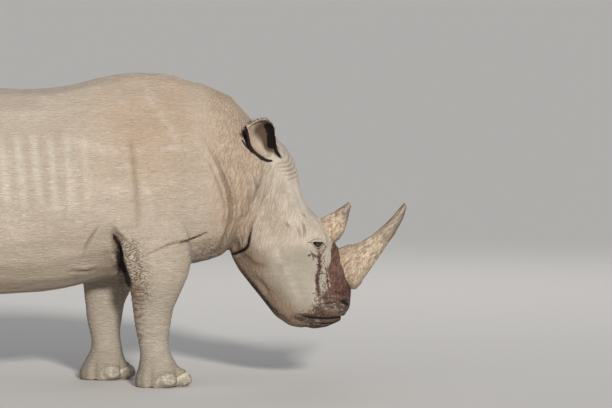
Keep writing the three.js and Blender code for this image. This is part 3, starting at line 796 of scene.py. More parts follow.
def raise_wrinkles(clay, masks):
    """Medium wrinkles as real relief: rings on the legs, nets at the joints, lines on the neck."""
    p = clay.p
    x, y, z = p.T
    u, v = clay.head_axes()
    bent = z + 16 * noise(p, [120, 120, 60], 21) + 0.25 * x
    ring = np.abs(np.sin(bent * np.pi / RING_SPACING)) ** 0.6
    rings = masks["leg"] * smoothstep(170, 230, z)
    rings *= 0.6 + 0.4 * noise(p, 140, 22) + 1.8 * masks["comb"]
    slants = [np.stack([x + 0.8 * z, y, z + slope * x], axis=1) for slope in (-0.8, 0.8)]
    net = np.minimum(*(ridged(slant, [90, 60, 30], seed) for seed, slant in enumerate(slants, 31)))
    line = ridged(np.stack([u, y, v], axis=1), [190, 60, 26], 41)
    flat = ridged(p, [230, 110, 26], 51)
    height = 2.6 * (ring - 0.6) * rings
    height += 1.8 * (np.clip(net * 1.4, 0, 1) - 0.7) * masks["net"]
    height += 2.2 * (line - 0.7) * masks["grain"]
    height += 1.5 * (flat - 0.7) * masks["hatch"]
    height += 1.6 * noise(p, 90, 61) * masks["body"]
    clay.push(height)


HEEL_TURN = math.radians(50)  # from the outer and inner nails to the grooves of the heel


def part_toes(clay):
    """Parts the toes and the heel of each foot with upright grooves."""
    height = np.zeros(len(clay.p))
    for leg in LEGS:
        foot = node_centre(f"{leg}_foot")
        places = [node_centre(f"{leg}_nail_{toe}") - foot for toe in ("outer", "middle", "inner")]
        outer, middle, inner = (math.atan2(place[1], place[0]) for place in places)
        away = clay.p[:, :2] - foot[:2]
        heading = np.arctan2(away[:, 1], away[:, 0])
        low = (1 - smoothstep(70, 135, clay.p[:, 2])) * (np.hypot(*away.T) < 230)
        heel = HEEL_TURN * (1 if outer > middle else -1)
        grooves = [((outer + middle) / 2, 6), ((inner + middle) / 2, 6), (outer + heel, 9), (inner - heel, 9)]
        for groove, depth in grooves:
            turn = np.abs((heading - groove + np.pi) % (2 * np.pi) - np.pi) * 120
            height += low * depth * (0.35 * bell(turn - 34, 22) - bell(turn, 12))
    clay.push(height)


NAIL_BREADTH = 1.5  # width of a nail against its solid
NAIL_SQUARENESS = 2.5  # 2 is an ellipse; more is squarer
NAIL_ROOT, NAIL_EDGE = 1.6, 3.6  # thickness at its root, and how much more at its lower edge


def nail_axes(name):
    """A nail's middle, its axes (out of the toe, up it, across it) and its reach along each."""
    bm = node_solid(name)
    points = to_table(np.array([v.co for v in bm.verts]))
    bm.free()
    centre = points.mean(0)
    _, axes = np.linalg.eigh(np.cov((points - centre).T))
    out, up, across = axes.T  # from the least to the greatest spread
    if abs(up[2]) < abs(across[2]):
        up, across = across, up
    foot = node_centre(name.split("_nail")[0] + "_foot")
    if out @ ((centre - foot) * [1, 1, 0]) < 0:
        out = -out
    axes = np.array([out, up * np.sign(up[2]), across])
    reach = np.abs((points - centre) @ axes.T).max(0)
    return centre, axes, reach * [1, 1, NAIL_BREADTH]


def bed_nails(clay):
    """Rolls the skin round each nail's upper edge and returns the painted shade in the crease beside the
    nails.
    """
    crease = np.zeros(len(clay.p))
    for name in NAILS:
        centre, axes, reach = nail_axes(name)
        out, up, across = ((clay.p - centre) @ axes.T / reach).T
        border = (np.abs(up) ** NAIL_SQUARENESS + np.abs(across) ** NAIL_SQUARENESS) ** (1 / NAIL_SQUARENESS)
        near = window(-2.2, -1.4, 1.8, 2.6, out)
        roll = 4.5 * bell(border - 1.16, 0.13) * smoothstep(-0.6, 0.1, up) - 3.0 * bell(border - 0.98, 0.09)
        clay.p += np.outer(roll * near, axes[0])
        crease = np.maximum(crease, 0.7 * bell(border - 1.02, 0.06) * near)
    clay.refresh()
    return crease


# ---- Skin: what varies over it -----------------------------------------------------------------

# Stains below the eye and beside the nose: half width, and the line as [x, z, strength].
TEARS = [
    (14, [[1036, 757, 0.6], [1039, 708, 0.9], [1042, 642, 1.05], [1030, 598, 1.15], [1030, 554, 1.05],
          [1037, 515, 0.9], [1040, 466, 0.6]]),
    (7, [[983, 712, 0.9], [1003, 721, 0.9], [1022, 710, 0.9], [1037, 705, 1]]),
    (5, [[992, 738, 0.7], [1003, 720, 0.9], [1009, 686, 0.7]]),
    (7, [[1073, 751, 0.7], [1059, 726, 0.8], [1042, 705, 0.9]]),
    (8, [[1077, 640, 0.6], [1084, 587, 0.9], [1086, 554, 0.9], [1095, 515, 0.8]]),
    (5, [[1012, 535, 0.5], [1056, 543, 0.7], [1105, 538, 0.6]]),
    (6, [[1006, 504, 0.6], [1056, 508, 0.8], [1116, 502, 0.7]]),
    (6, [[1001, 441, 0.6], [1045, 447, 0.9], [1105, 451, 0.9], [1144, 460, 0.8]]),
    (5, [[1017, 480, 0.6], [1017, 447, 0.7]]),
    (8, [[1042, 422, 0.6], [1053, 400, 1], [1067, 381, 1]]),
]
# Painted shade where the jaw turns under, as [x, z, strength], and smears of dust as half width and line.
JAW_EDGE = [
    [600, 745, 0.7], [640, 680, 0.9], [726, 543, 1], [790, 462, 1], [841, 411, 1], [935, 356, 1],
    [1100, 345, 1], [1188, 370, 0.8]]
SMEARS = [
    (20, [[790, 770, 0.4], [812, 720, 0.9], [850, 660, 0.6], [880, 590, 0.9], [905, 530, 0.8],
          [925, 470, 0.4]]),
    (26, [[88, 1640, 0.3], [130, 1560, 0.8], [190, 1470, 0.6], [247, 1382, 0.8], [300, 1340, 0.3]]),
    (18, [[150, 1330, 0.3], [220, 1318, 0.9], [310, 1300, 0.4]]),
    (34, [[-302, 1340, 0.5], [-190, 1330, 0.9], [-72, 1300, 0.5]]),
    (26, [[-70, 1240, 0.4], [-10, 1215, 0.8], [50, 1190, 0.3]]),
    (24, [[-470, 1560, 0.3], [-380, 1530, 0.7], [-260, 1520, 0.3]]),
    (22, [[-480, 1010, 0.3], [-380, 990, 0.7], [-240, 1000, 0.6], [-120, 980, 0.3]]),
    (20, [[60, 1130, 0.3], [110, 1080, 0.8], [130, 1000, 0.7], [120, 930, 0.3]]),
]
# Painted shade, the deepest: behind the foreleg, over it, behind the jowl, under the jaw and the lips, and at
# the root of the ear.
GAPS = [
    (11, [[-86, 862, 0.4], [-74, 832, 1], [-54, 786, 1.5], [-34, 744, 1.2], [-26, 716, 0.6]]),
    (25, [[-62, 776, 0.3], [-48, 726, 1.1], [-34, 668, 1.5], [-12, 610, 1.5], [8, 560, 0.8]]),
    (5, [[190, 776, 0.2], [236, 795, 0.55], [300, 806, 0.8], [350, 818, 0.9], [380, 828, 0.7],
         [402, 838, 0.2]]),
    (8, [[672, 880, 0.4], [660, 816, 0.9], [646, 762, 1.2], [612, 732, 1.3], [565, 712, 1]]),
    (24, [[583, 684, 0.3], [638, 592, 0.6], [704, 510, 0.7], [770, 430, 0.7], [852, 360, 0.55],
          [930, 328, 0.3]]),
    (8, [[985, 348, 0.3], [1050, 340, 0.9], [1120, 340, 0.9], [1190, 350, 0.5]]),
]
# Painted shadow between each ear's rear margin and the neck, and under the ear's root.
EAR_GAPS = [
    (14, [[620, 1402, 0.6], [634, 1384, 1.4], [645, 1352, 1.5], [656, 1318, 1.4], [676, 1288, 1]]),
    (9, [
        [682, 1284, 1.2], [716, 1254, 1.3], [732, 1243, 1.3], [755, 1234, 1.4], [785, 1236, 1.3],
        [815, 1241, 1.1], [842, 1236, 0.4]]),
]
# The rear and front edges of the red patch beside the nose, as [z, x].
PATCH_REAR = [
    [430, 1128], [510, 1108], [541, 1105], [597, 1100], [637, 1083], [675, 1099], [738, 1105], [781, 1120]]
PATCH_FRONT = [
    [430, 1250], [522, 1228], [549, 1212], [620, 1190], [675, 1184], [726, 1178], [769, 1140], [790, 1122]]
# Where the fine net of wrinkles is densest: armpit, brisket and stifle, as x, z and reach.
NETS = [(-10, 745, 100), (5, 620, 90), (440, 700, 110), (-960, 720, 130), (-1560, 640, 130)]
MOST_PALE = 1.6


def line_mark(clay, line, width, raised=0.0):
    """A mark along a line, for points that are raised first."""
    profile = clay.profile + np.outer(raised, [0, 1])
    distance, strength, _ = along_line(profile, line, width * 4)
    return bell(distance, width) * strength


def line_marks(clay, lines, raised=0.0):
    return np.array([line_mark(clay, line, width, raised) for width, line in lines])


def masks_of(clay):
    """Where each kind of wrinkle and marking lies, from 0 to 1."""
    p = clay.p
    x, _, z = p.T
    u, _ = clay.head_axes()
    ear = ear_share(p)
    leg = leg_share(p)
    head = smoothstep(-60, 110, x - 600 - 0.25 * (z - 700) + 45 * noise(p, 90, 75))
    neck = smoothstep(330, 560, x + 0.1 * (z - 1200)) * (1 - head)
    joints = sum(bell(np.hypot(x - at_x, z - at_z), reach) for at_x, at_z, reach in NETS)
    outside = smoothstep(-0.2, 0.4, clay.outwards)
    comb = leg * bell(x - 45 - 0.05 * (z - 400), 60) * smoothstep(170, 260, z)
    pleats = bell(x - 38 + 0.12 * (z - 1150), 40) * window(800, 960, 1330, 1450, z)
    pleats += bell(x + 190 - 0.35 * (z - 820), 34) * window(690, 740, 860, 930, z)
    return {
        "comb": comb,
        "pleats": np.clip(pleats, 0, 1) * outside,
        "head": head,
        "ear": smoothstep(0.1, 0.3, ear),
        "leg": leg,
        "neck": neck,
        "body": (1 - head) * (1 - leg),
        "net": np.clip(joints + bell(np.hypot(x + 20 - 0.1 * z, z - 520), 90), 0, 1) * (1 - head),
        "grain": np.clip(neck + head * bell(u - 250, 330) * 0.5, 0, 1) * outside * (ear < 0.05),
        "hatch": np.clip(1 - neck - head - leg, 0, 1),
    }


def dust_marks(clay, masks):
    """Warm dust, pale dust with painted light and shade over the ribs, and the bare grey of legs and face."""
    p = clay.p
    x, _, z = p.T
    head, leg = masks["head"], masks["leg"]
    blotch = noise(p, 260, 71) * 0.6 + noise(p, 110, 72) * 0.4
    face = head * noise(p, [60, 60, 90], 76)
    shoulder = bell(np.hypot((x - 130) / 330, (z - 1420) / 300), 1)
    groove = bell(x - 38 + 0.12 * (z - 1150), 24) * window(900, 1250, 1380, 1480, z)
    warm = np.maximum.reduce([shoulder, 0.75 * masks["neck"], groove])
    flank = bell(x + 560, 430) * bell(z - 1130, 230)
    # rib_bands: painted light over each rib and painted shade between them
    pale = 0.55 * flank + 0.5 * blotch + 0.75 * rib_bands(clay) + 1.6 * crown_share(clay) + 0.8 * face
    smear = line_marks(clay, SMEARS).sum(axis=0)
    smear *= 0.8 + 0.7 * noise(p, [26, 26, 34], 73) + 0.7 * noise(p, [80, 80, 14], 74)
    cheek = bell(np.hypot((x - 900) / 1.3, z - 560), 140)
    cheek += head * (1 - smoothstep(560, 800, z - 0.45 * (x - 900)))
    grey = 0.8 * leg + 0.4 * foot_share(clay) + cheek + 0.3 * (1 + blotch) * head - 0.5 * face
    return {
        "warm": np.clip(warm + 0.25 * blotch, 0, 1) * (1 - head) * (1 - leg),
        "pale": np.clip(np.clip(pale, 0, MOST_PALE) + smear, 0, MOST_PALE),
        "grey": np.clip(grey, 0, 1.2),
    }


def muzzle_marks(clay):
    """The red patch beside the nose, and the mud of the muzzle with its crust."""
    x, _, z = clay.p.T
    wander = 12 * noise(clay.p, 60, 82)
    rear, front = (np.interp(z, *np.transpose(edge)) for edge in (PATCH_REAR, PATCH_FRONT))
    stain = smoothstep(-18, 16, x - rear + wander) * smoothstep(-34, 4, front - x + wander)
    stain *= smoothstep(440, 510, z + wander) * (1 - smoothstep(768, 800, z + 0.3 * wander))
    stain *= smoothstep(-0.15, 0.15, clay.outwards) * (x > 1050)
    crust = smoothstep(990, 1050, x + 0.5 * (500 - z) + wander) * (1 - smoothstep(560, 660, z + wander))
    crust = np.maximum(crust, 0.85 * bell(x - 1058, 46) * bell(z - 640, 120)) * (z > 330)
    muzzle = 1.15 * smoothstep(990, 1070, x + 0.6 * (450 - z) + wander)
    muzzle *= 1 - smoothstep(480, 620, z + wander)
    muzzle = np.maximum(muzzle, 1.6 * bell(z - 366, 34) * smoothstep(850, 960, x))
    muzzle -= 0.8 * bell(x - 1108, 50) * bell(z - 422, 20)
    clot = smoothstep(0.35, 1.0, (x - rear) / np.maximum(front - rear, 1))
    return {"stain": stain, "clot": clot, "crust": crust, "muzzle": muzzle}


def crown_share(clay):
    """The pale forehead between the ears and the rear horn."""
    u, v = clay.head_axes()
    return bell(u - 230, 200) * bell(v - 100, 90)


def foot_share(clay):
    return 1 - smoothstep(90, 240, clay.p[:, 2])


def mark_hide(clay, masks, crease, dark, ear_shade_and_hair, ear_inside, collar):
    """Writes everything that the hide's material reads as attributes of the mesh."""
    x, y, z = clay.p.T
    head, ear, net = masks["head"], masks["ear"], masks["net"]
    facing = smoothstep(-0.1, 0.25, clay.outwards)
    # painted shade under the trunk, and more under the head
    underside = smoothstep(0.2, 0.9, -clay.n[:, 2]) * (z > 300)
    underside += 1.6 * smoothstep(0.0, 0.75, -clay.n[:, 2]) * head * (1 - ear)
    # painted shade where the jaw turns under
    distance, strength, _ = along_line(clay.profile, JAW_EDGE, 200)
    jaw = bell(distance, 76) * strength
    raised = np.where(y > 0, LEFT_EAR_DROP * np.clip((EAR_ROOT_X - x) / (EAR_ROOT_X - EAR_TIP_X), 0, 1), 0)
    # painted shade in the gaps, and painted shadow round the ears
    gaps = line_marks(clay, GAPS).max(axis=0)
    gaps = np.maximum(gaps, line_marks(clay, EAR_GAPS, raised).max(axis=0) * (1 - ear_inside))
    # painted shade of folds, undersides, the jaw and the joints' wrinkles; the feet also darker towards the
    # ground
    crease = crease + 0.35 * underside + 0.92 * jaw + 0.15 * foot_share(clay) + 0.12 * net
    values = {
        **dust_marks(clay, masks),
        **muzzle_marks(clay),
        "crease": np.clip(crease, 0, 1),
        "tears": line_marks(clay, TEARS).max(axis=0) * facing,
        # painted shade: the deepest gaps, and the dark of the mouth, the nostrils and the lids
        "soot": np.clip(np.maximum(gaps * facing, dark), 0, 1),
        "ear_shade_and_hair": ear_shade_and_hair,
        "collar": collar,
        "net": net * (0.4 + 0.6 * smoothstep(-800, -500, x)),
        "pleats": masks["pleats"],
        "grain": (masks["grain"] + 0.45 * head + 0.5 * jaw) * (1 - ear) * (1 - 0.4 * crown_share(clay)),
        "hatch": masks["hatch"],
        "rings": masks["leg"] * 0.85,
        "comb": np.clip(masks["comb"], 0, 1),
    }
    for name, value in values.items():
        set_attribute(clay.mesh, name, value)


# ---- Shaders -----------------------------------------------------------------------------------


class Wire:
    """A number's socket in a shader, so that arithmetic on it adds Math nodes."""

    def __init__(self, shader, socket):
        self.shader = shader
        self.socket = socket

    def _with(self, operation, first, second):
        return self.shader.node("ShaderNodeMath", {"operation": operation}, {0: first, 1: second})

    def __add__(self, other):
        return self._with("ADD", self, other)

    def __sub__(self, other):
        return self._with("SUBTRACT", self, other)

    def __mul__(self, other):
        return self._with("MULTIPLY", self, other)

    def __rsub__(self, other):
        return self._with("SUBTRACT", other, self)

    def __pow__(self, other):
        return self._with("POWER", self, other)

    __radd__ = __add__
    __rmul__ = __mul__

    def above(self, low, high):
        """0 below low and 1 above high, with a smooth rise between them."""
        inputs = {"Value": self, "From Min": low, "From Max": high}
        return self.shader.node("ShaderNodeMapRange", {"interpolation_type": "SMOOTHSTEP"}, inputs)

    def at_most(self, other):
        return self._with("MINIMUM", self, other)

    def at_least(self, other):
        return self._with("MAXIMUM", self, other)


class Shader:
    """A material whose nodes are made by expressions."""

    def __init__(self, name):
        self.material = bpy.data.materials.new(name)
        self.material.use_nodes = True
        self.tree = self.material.node_tree
        self.tree.nodes.clear()
        self.surface = self.tree.nodes.new("ShaderNodeBsdfPrincipled")
        output = self.tree.nodes.new("ShaderNodeOutputMaterial")
        self.tree.links.new(self.surface.outputs["BSDF"], output.inputs["Surface"])
        self.colour = (0, 0, 0)

    def node(self, kind, settings=None, inputs=None, output=0):
        """Adds a node: its settings are set first, then its sockets' values or links."""
        made = self.tree.nodes.new(kind)
        for key, value in (settings or {}).items():
            setattr(made, key, value)
        for key, value in (inputs or {}).items():
            self.feed(made.inputs[key], value)
        return Wire(self, made.outputs[output])

    def feed(self, socket, value):
        """Links a wire to a socket, or sets the socket's value. A colour gets its alpha here."""
        if isinstance(value, Wire):
            self.tree.links.new(value.socket, socket)
        elif hasattr(socket.default_value, "__len__") and len(value) == 3 and len(socket.default_value) == 4:
            socket.default_value = (*value, 1)
        else:
            socket.default_value = value

    def attribute(self, name):
        return self.node("ShaderNodeAttribute", {"attribute_name": name}, output="Fac")

    def place(self, scale, turn=0.0):
        """The object's own coordinates, turned about Y and scaled."""
        vector = self.node("ShaderNodeTexCoord", output="Object")
        if turn:
            vector = self.node("ShaderNodeMapping", None, {"Vector": vector, "Rotation": (0, turn, 0)})
        return self.node("ShaderNodeMapping", None, {"Vector": vector, "Scale": scale})

    def noise(self, size, detail=3.0, roughness=0.55, distortion=0.0, turn=0.0):
        """Noise that is as fine as one number says, or as three say along x, y and z."""
        scale, size = (size, 1.0) if isinstance(size, tuple) else ((1, 1, 1), size)
        inputs = {"Vector": self.place(scale, turn), "Scale": size, "Detail": detail}
        inputs.update({"Roughness": roughness, "Distortion": distortion})
        return self.node("ShaderNodeTexNoise", None, inputs, output="Fac")

    def cells(self, scale):
        """Distance to the border between cells."""
        inputs = {"Vector": self.place(scale), "Scale": 1.0}
        return self.node("ShaderNodeTexVoronoi", {"feature": "DISTANCE_TO_EDGE"}, inputs, output="Distance")

    def mix(self, share, first, second):
        """Mixes two colours. Sockets 6 and 7 of a colour Mix node are its colours, output 2 its result."""
        settings = {"data_type": "RGBA", "clamp_result": True}
        return self.node("ShaderNodeMix", settings, {0: share, 6: first, 7: second}, output=2)

    def paint(self, share, tone):
        """Lays a share of another tone over the colour so far."""
        self.colour = self.mix(share, self.colour, tone)

    def valleys(self, scale, turn, steepness):
        """Winding valleys along the coarser axes of the scale: 1 at their bottoms, 0 between them."""
        away = self.noise(scale, 2.0, 0.5, 0.2, turn) - 0.5
        return (1 - (away * away) ** 0.5 * steepness).at_least(0.0)

    def bump(self, height, distance, strength):
        inputs = {"Height": height, "Distance": distance, "Strength": strength}
        return self.node("ShaderNodeBump", None, inputs)

    def set(self, **sockets):
        """Feeds the surface's sockets and returns the material."""
        for name, value in sockets.items():
            self.feed(self.surface.inputs[name.replace("_", " ").title().replace("Ior", "IOR")], value)
        return self.material


def darker(colour, share):
    return tuple(channel * share for channel in colour)


FACE_TURN = HEAD_PITCH - math.pi / 2  # how far the furrows of face and neck are turned about Y
HORN_TURN = HEAD_PITCH - 2.1  # turns a texture so that its z runs along the horns


class Hide(Shader):
    """The hide's material, with the noise that breaks its markings up."""

    def __init__(self):
        super().__init__("hide")
        self.mottle = self.noise(38.0, 5, 0.65)
        self.speckle = self.noise(120.0, 4, 0.7)
        self.ragged = (self.mottle - 0.5) * 1.6 + (self.speckle - 0.5) * 2.2
        self.crackle = 1 - self.cells((56, 56, 36)).above(0.0, 0.13)

    def torn(self, name, amount):
        """A marking whose border and body are broken up."""
        held = self.attribute(name)
        return held + self.ragged * held.above(0.0, 0.25) * amount

    def furrows(self):
        """The fine wrinkles everywhere, and those that cross each other at the joints."""
        hatch = (self.valleys((9, 9, 82), 0, 9) * 0.55).at_least(self.valleys((22, 22, 170), 0, 9) * 0.5)
        grain = self.valleys((62, 36, 10), FACE_TURN, 7) * 0.85
        grain = grain.at_least(self.valleys((150, 80, 26), FACE_TURN, 9) * 0.5)
        rings = (self.valleys((12, 12, 72), 0, 8) * 0.8).at_least(self.valleys((26, 26, 150), 0, 9) * 0.5)
        region = self.noise(11.0, 1).above(0.44, 0.56)
        cross = self.valleys((26, 26, 105), 0.7, 11) * region
        cross = cross + self.valleys((26, 26, 105), -0.4, 11) * (1 - region)
        net = self.attribute("net")
        furrow = hatch * self.attribute("hatch") + grain * self.attribute("grain")
        furrow = furrow + rings * self.attribute("rings")
        furrow = furrow * (1 - 0.6 * net) + cross * net * 0.9
        furrow = furrow.at_least(self.valleys((95, 60, 8), 0.05, 9) * self.attribute("pleats") * 0.65)
        furrow = furrow.at_least(self.valleys((6, 6, 44), 0, 7) * self.attribute("comb") * 1.2)
        return furrow.at_most(1.0), cross

    def paint_dust(self, look):
        """Hide under dust of three tones, with painted light and shade over the ribs."""
        patch = self.noise(3.2, 5, 0.6)
        self.colour = self.mix(patch.above(0.35, 0.7), look.hide, look.hide_light)
        self.paint(self.attribute("warm") * (0.5 + 0.6 * patch), look.tan)
        self.paint(self.attribute("grey") * 0.8, look.grey)
        streaks = self.noise((4, 4, 30), 6, 0.65, 0.5).above(0.5, 0.68)
        flecks = self.noise((4, 4, 9), 6, 0.7).above(0.5, 0.66)
        dusty = (streaks * 0.5).at_least(flecks * 0.55)
        pale = self.attribute("pale")
        self.paint((pale * 0.35).at_least(dusty * (pale * 0.8 + 0.25)), look.dust_and_rib_light)

    def paint_creases(self, look, furrow, cross):
        # painted shade in the wrinkles and the folds
        net = self.attribute("net")
        self.paint(furrow**2.2 * (1.1 + 0.4 * net), look.crease)
        self.paint(cross**1.5 * net * 0.55, darker(look.crease, 0.4))
        self.paint(self.attribute("crease") * 0.8, look.crease)

    def paint_collars(self, look):
        """Flaky skin round the horns."""
        flaky = self.attribute("collar") * (0.4 + 1.2 * self.mottle)
        self.paint(flaky.above(0.3, 0.8) * 0.7, look.dust_and_rib_light)
        self.paint(flaky.above(0.4, 0.7) * self.speckle.above(0.54, 0.62) * 0.7, look.crease)

    def paint_muzzle(self, look):
        """Wet mud with lines and rosy flecks, and its dried, cracked crust."""
        muzzle = self.torn("muzzle", 1.3)
        muddy = muzzle.above(0.35, 0.95)
        self.paint(muddy * 0.9, look.mud)
        self.paint(muzzle.above(0.95, 1.6) * 0.85, darker(look.mud, 0.3))
        lines = self.valleys((16, 16, 62), 0.1, 8)
        self.paint(lines * muzzle.above(0.3, 0.8) * 0.8, darker(look.mud, 0.25))
        rosy = self.noise((22, 22, 40), 4, 0.6).above(0.52, 0.64)
        self.paint(rosy * muddy * 0.45, look.grey)
        broken = self.noise(45.0, 3, 0.6).above(0.38, 0.52)
        cracks = self.crackle * broken * self.torn("crust", 0.6).above(0.3, 0.8)
        self.paint(cracks * 0.8, darker(look.mud, 0.4))

    def paint_stain(self, look):
        """The red patch beside the nose. Returns where it lies."""
        stain = self.torn("stain", 0.55).above(0.35, 0.65)
        streak = self.noise((85, 60, 12), 4, 0.65, 0.4, FACE_TURN)
        dried = self.mix(streak.above(0.46, 0.58), darker(look.stain, 0.3), look.stain)
        dried = self.mix(self.attribute("clot") * 0.75, dried, look.tears)
        dried = self.mix(self.speckle.above(0.52, 0.6) * 0.4, dried, darker(look.stain, 1.7))
        dried = self.mix(self.crackle * 0.6, dried, darker(look.stain, 0.2))
        self.paint(stain * 0.95, dried)
        return stain

    def paint_darkest(self, look):
        """Painted shade in the ears' cups, the stains below the eyes, and painted shade in every opening and
        the deepest folds.
        """
        # painted shade in the ears' cups, and the rear rims' dark hair and painted shadow
        ear_shade_and_hair = self.attribute("ear_shade_and_hair")
        self.paint(ear_shade_and_hair.above(0.0, 0.75), look.ear_shade_and_hair_tone)
        self.paint(ear_shade_and_hair.above(0.55, 0.82), darker(look.ear_shade_and_hair_tone, 0.06))
        tears = self.torn("tears", 1.1)
        self.paint(tears.above(0.3, 0.6) * 0.7, darker(look.stain, 0.8))
        self.paint(tears.above(0.6, 0.95) * 0.9, look.tears)
        # painted shade of the lid edges, the nostrils, the lips and the deepest folds
        soot = self.torn("soot", 0.45)
        self.paint(soot.above(0.25, 0.6) * 0.65, look.mud)
        self.paint(soot.above(0.5, 0.8) * 0.98, look.soot)


def hide_material(look):
    """Dusty, finely wrinkled hide, marked by the attributes of the skin."""
    s = Hide()
    furrow, cross = s.furrows()
    s.paint_dust(look)
    s.paint_creases(look, furrow, cross)
    s.paint_collars(look)
    s.paint_muzzle(look)
    stain = s.paint_stain(look)
    s.paint_darkest(look)
    fine_net = s.cells((95, 95, 150)).above(0.0, 0.3)
    grit = s.noise(320.0, 4, 0.65)
    relief = fine_net * 0.12 + grit * 0.1 - furrow
    rough = 0.92 - 0.25 * stain
    normal = s.bump(relief, 0.0045, look.wrinkle_strength)
    return s.set(base_color=s.colour, roughness=rough, normal=normal, specular_ior_level=0.25)


def horn_material(look):
    """Beige flaking fibre at the base, worn to dark, smooth grey at the tip."""
    s = Shader("horn")
    along = s.attribute("along")
    strand = s.noise((110, 110, 12), 5, 0.65, 0.3, HORN_TURN)
    mottle = s.noise(34.0, 5, 0.7)
    flake = s.noise((60, 60, 9), 4, 0.6)
    pits = s.noise((70, 70, 30), 4, 0.7, turn=HORN_TURN)
    worn = (along + (mottle - 0.5) * 0.8).above(look.worn_from - 0.12, look.worn_from + 0.25)
    s.colour = s.mix(mottle.above(0.42, 0.58), look.base, look.base_light)
    s.paint(flake.above(0.52, 0.62) * 0.6, darker(look.base_light, 1.3))
    s.paint(pits.above(0.53, 0.6) * 0.75, look.stain)
    s.paint((1 - along).above(0.55, 1.0) * mottle.above(0.48, 0.58) * 0.6, look.stain)
    s.paint(strand.above(0.51, 0.62) * 0.65, darker(look.base, 0.35))
    s.paint(worn, s.mix(strand.above(0.42, 0.6), look.tip, darker(look.tip, 0.45)))
    s.paint(s.attribute("under") * worn * 0.6, darker(look.tip, 0.3))
    relief = strand * (0.9 - 0.6 * worn) + (flake * 0.5 + mottle * 0.4) * (1 - worn)
    return s.set(base_color=s.colour, roughness=0.85 - 0.35 * worn, normal=s.bump(relief, 0.004, 0.9))


def nail_material(look):
    """Pale, scuffed keratin with growth lines."""
    s = Shader("nail")
    lines = s.noise((12, 12, 190), 4, 0.6)
    scuff = s.noise(60.0, 4, 0.7)
    s.colour = s.mix(scuff.above(0.35, 0.65), look.nail, darker(look.nail, 0.6))
    s.paint(s.noise(22.0, 4, 0.6).above(0.5, 0.6) * 0.7, darker(look.nail, 1.35))
    s.paint((1 - lines.above(0.35, 0.6)) * 0.45, darker(look.nail, 0.4))
    normal = s.bump(lines + scuff * 0.5, 0.002, 0.8)
    return s.set(base_color=s.colour, roughness=0.65 + 0.2 * scuff, normal=normal)


PUPIL_BLACK = (0.002, 0.0015, 0.0012)


def eye_material(look):
    """A dark brown iris round an oval pupil, behind a wet surface."""
    s = Shader("eye")
    streak = s.noise(500.0, 3, 0.6)
    s.colour = s.mix(streak, darker(look.iris, 0.5), look.iris)
    s.paint(s.attribute("pupil"), PUPIL_BLACK)
    s.paint(s.attribute("white"), look.eye_white)
    return s.set(base_color=s.colour, roughness=0.06 + 0.05 * streak, coat_weight=1.0, coat_roughness=0.03)


def hair_material(look):
    """Dark hair, bleached towards its ends."""
    s = Shader("hair")
    tone = s.noise(90.0, 3, 0.6)
    s.colour = s.mix(tone.above(0.3, 0.7), darker(look.dark, 0.45), look.dark)
    s.paint(s.attribute("along").above(0.5, 1.0) * 0.5, look.hair_tip)
    return s.set(base_color=s.colour, roughness=0.6 + 0.2 * tone)


# ---- Settings ----------------------------------------------------------------------------------


def colour_property(name, description, default):
    return FloatVectorProperty(
        name=name, description=description, default=default, size=3, min=0, max=1, subtype="COLOR"
    )


class SkinSettings(bpy.types.PropertyGroup):
    voxel: FloatProperty(
        name="Voxel", description="Length of a face of the trunk in millimetres", default=9.5, min=6, max=30
    )
    fold_depth: FloatProperty(
        name="Fold depth", description="Depth of the folds against life", default=1, min=0, max=2,
        subtype="FACTOR",
    )
    wrinkle_strength: FloatProperty(
        name="Wrinkle strength", description="Strength of the finest wrinkles", default=0.9, min=0, max=1,
        subtype="FACTOR",
    )
    hide: colour_property("Hide", "Dusty hide", (0.411, 0.346, 0.276))
    hide_light: colour_property("Light hide", "Hide under thicker dust", (0.467, 0.397, 0.319))
    tan: colour_property("Tan", "Warm dust on the shoulder and neck", (0.405, 0.288, 0.20))
    grey: colour_property("Grey", "Bare hide of the legs and face", (0.31, 0.277, 0.224))
    # pale dust, and the painted light over the ribs
    dust_and_rib_light: colour_property("Dust", "Pale dust on the ribs", (0.62, 0.565, 0.49))
    # painted shade in folds and wrinkles, under the body and head and along the jaw; also the dark specks
    # round the horns
    crease: colour_property("Crease", "Depth of folds and wrinkles", (0.20, 0.135, 0.09))
    mud: colour_property("Mud", "Wet mud on the muzzle", (0.135, 0.084, 0.06))
    stain: colour_property("Stain", "Red patch beside the nose", (0.142, 0.058, 0.040))
    # painted shade in the ear's cup, and its rear rim's dark hair
    ear_shade_and_hair_tone: colour_property("Inner ear", "Hairless hollow of the ear", (0.088, 0.052, 0.033))
    tears: colour_property("Tears", "Dried stains below the eyes", (0.036, 0.018, 0.017))
    # painted shade of the lid edges, the nostrils, the lips and the deepest folds
    soot: colour_property("Painted shade", "Lid edges, nostrils and the deepest folds", (0.010, 0.007, 0.006))


class HornSettings(bpy.types.PropertyGroup):
    worn_from: FloatProperty(
        name="Worn from", description="Share of the horn's length where it turns smooth", default=0.55,
        min=0, max=1, subtype="FACTOR",
    )
    base: colour_property("Base", "Fibre at the base", (0.33, 0.262, 0.185))
    base_light: colour_property("Light base", "Flaked fibre", (0.50, 0.405, 0.295))
    tip: colour_property("Tip", "Worn keratin", (0.30, 0.228, 0.17))
    stain: colour_property("Stain", "Red earth rubbed into the base", (0.27, 0.13, 0.085))
    nail: colour_property("Nails", "Keratin of the toes", (0.42, 0.37, 0.29))


class HeadSettings(bpy.types.PropertyGroup):
    iris: colour_property("Iris", "Colour of the iris", (0.022, 0.011, 0.006))
    eye_white: colour_property("Eye white", "Rim of the eyeball", (0.06, 0.035, 0.028))


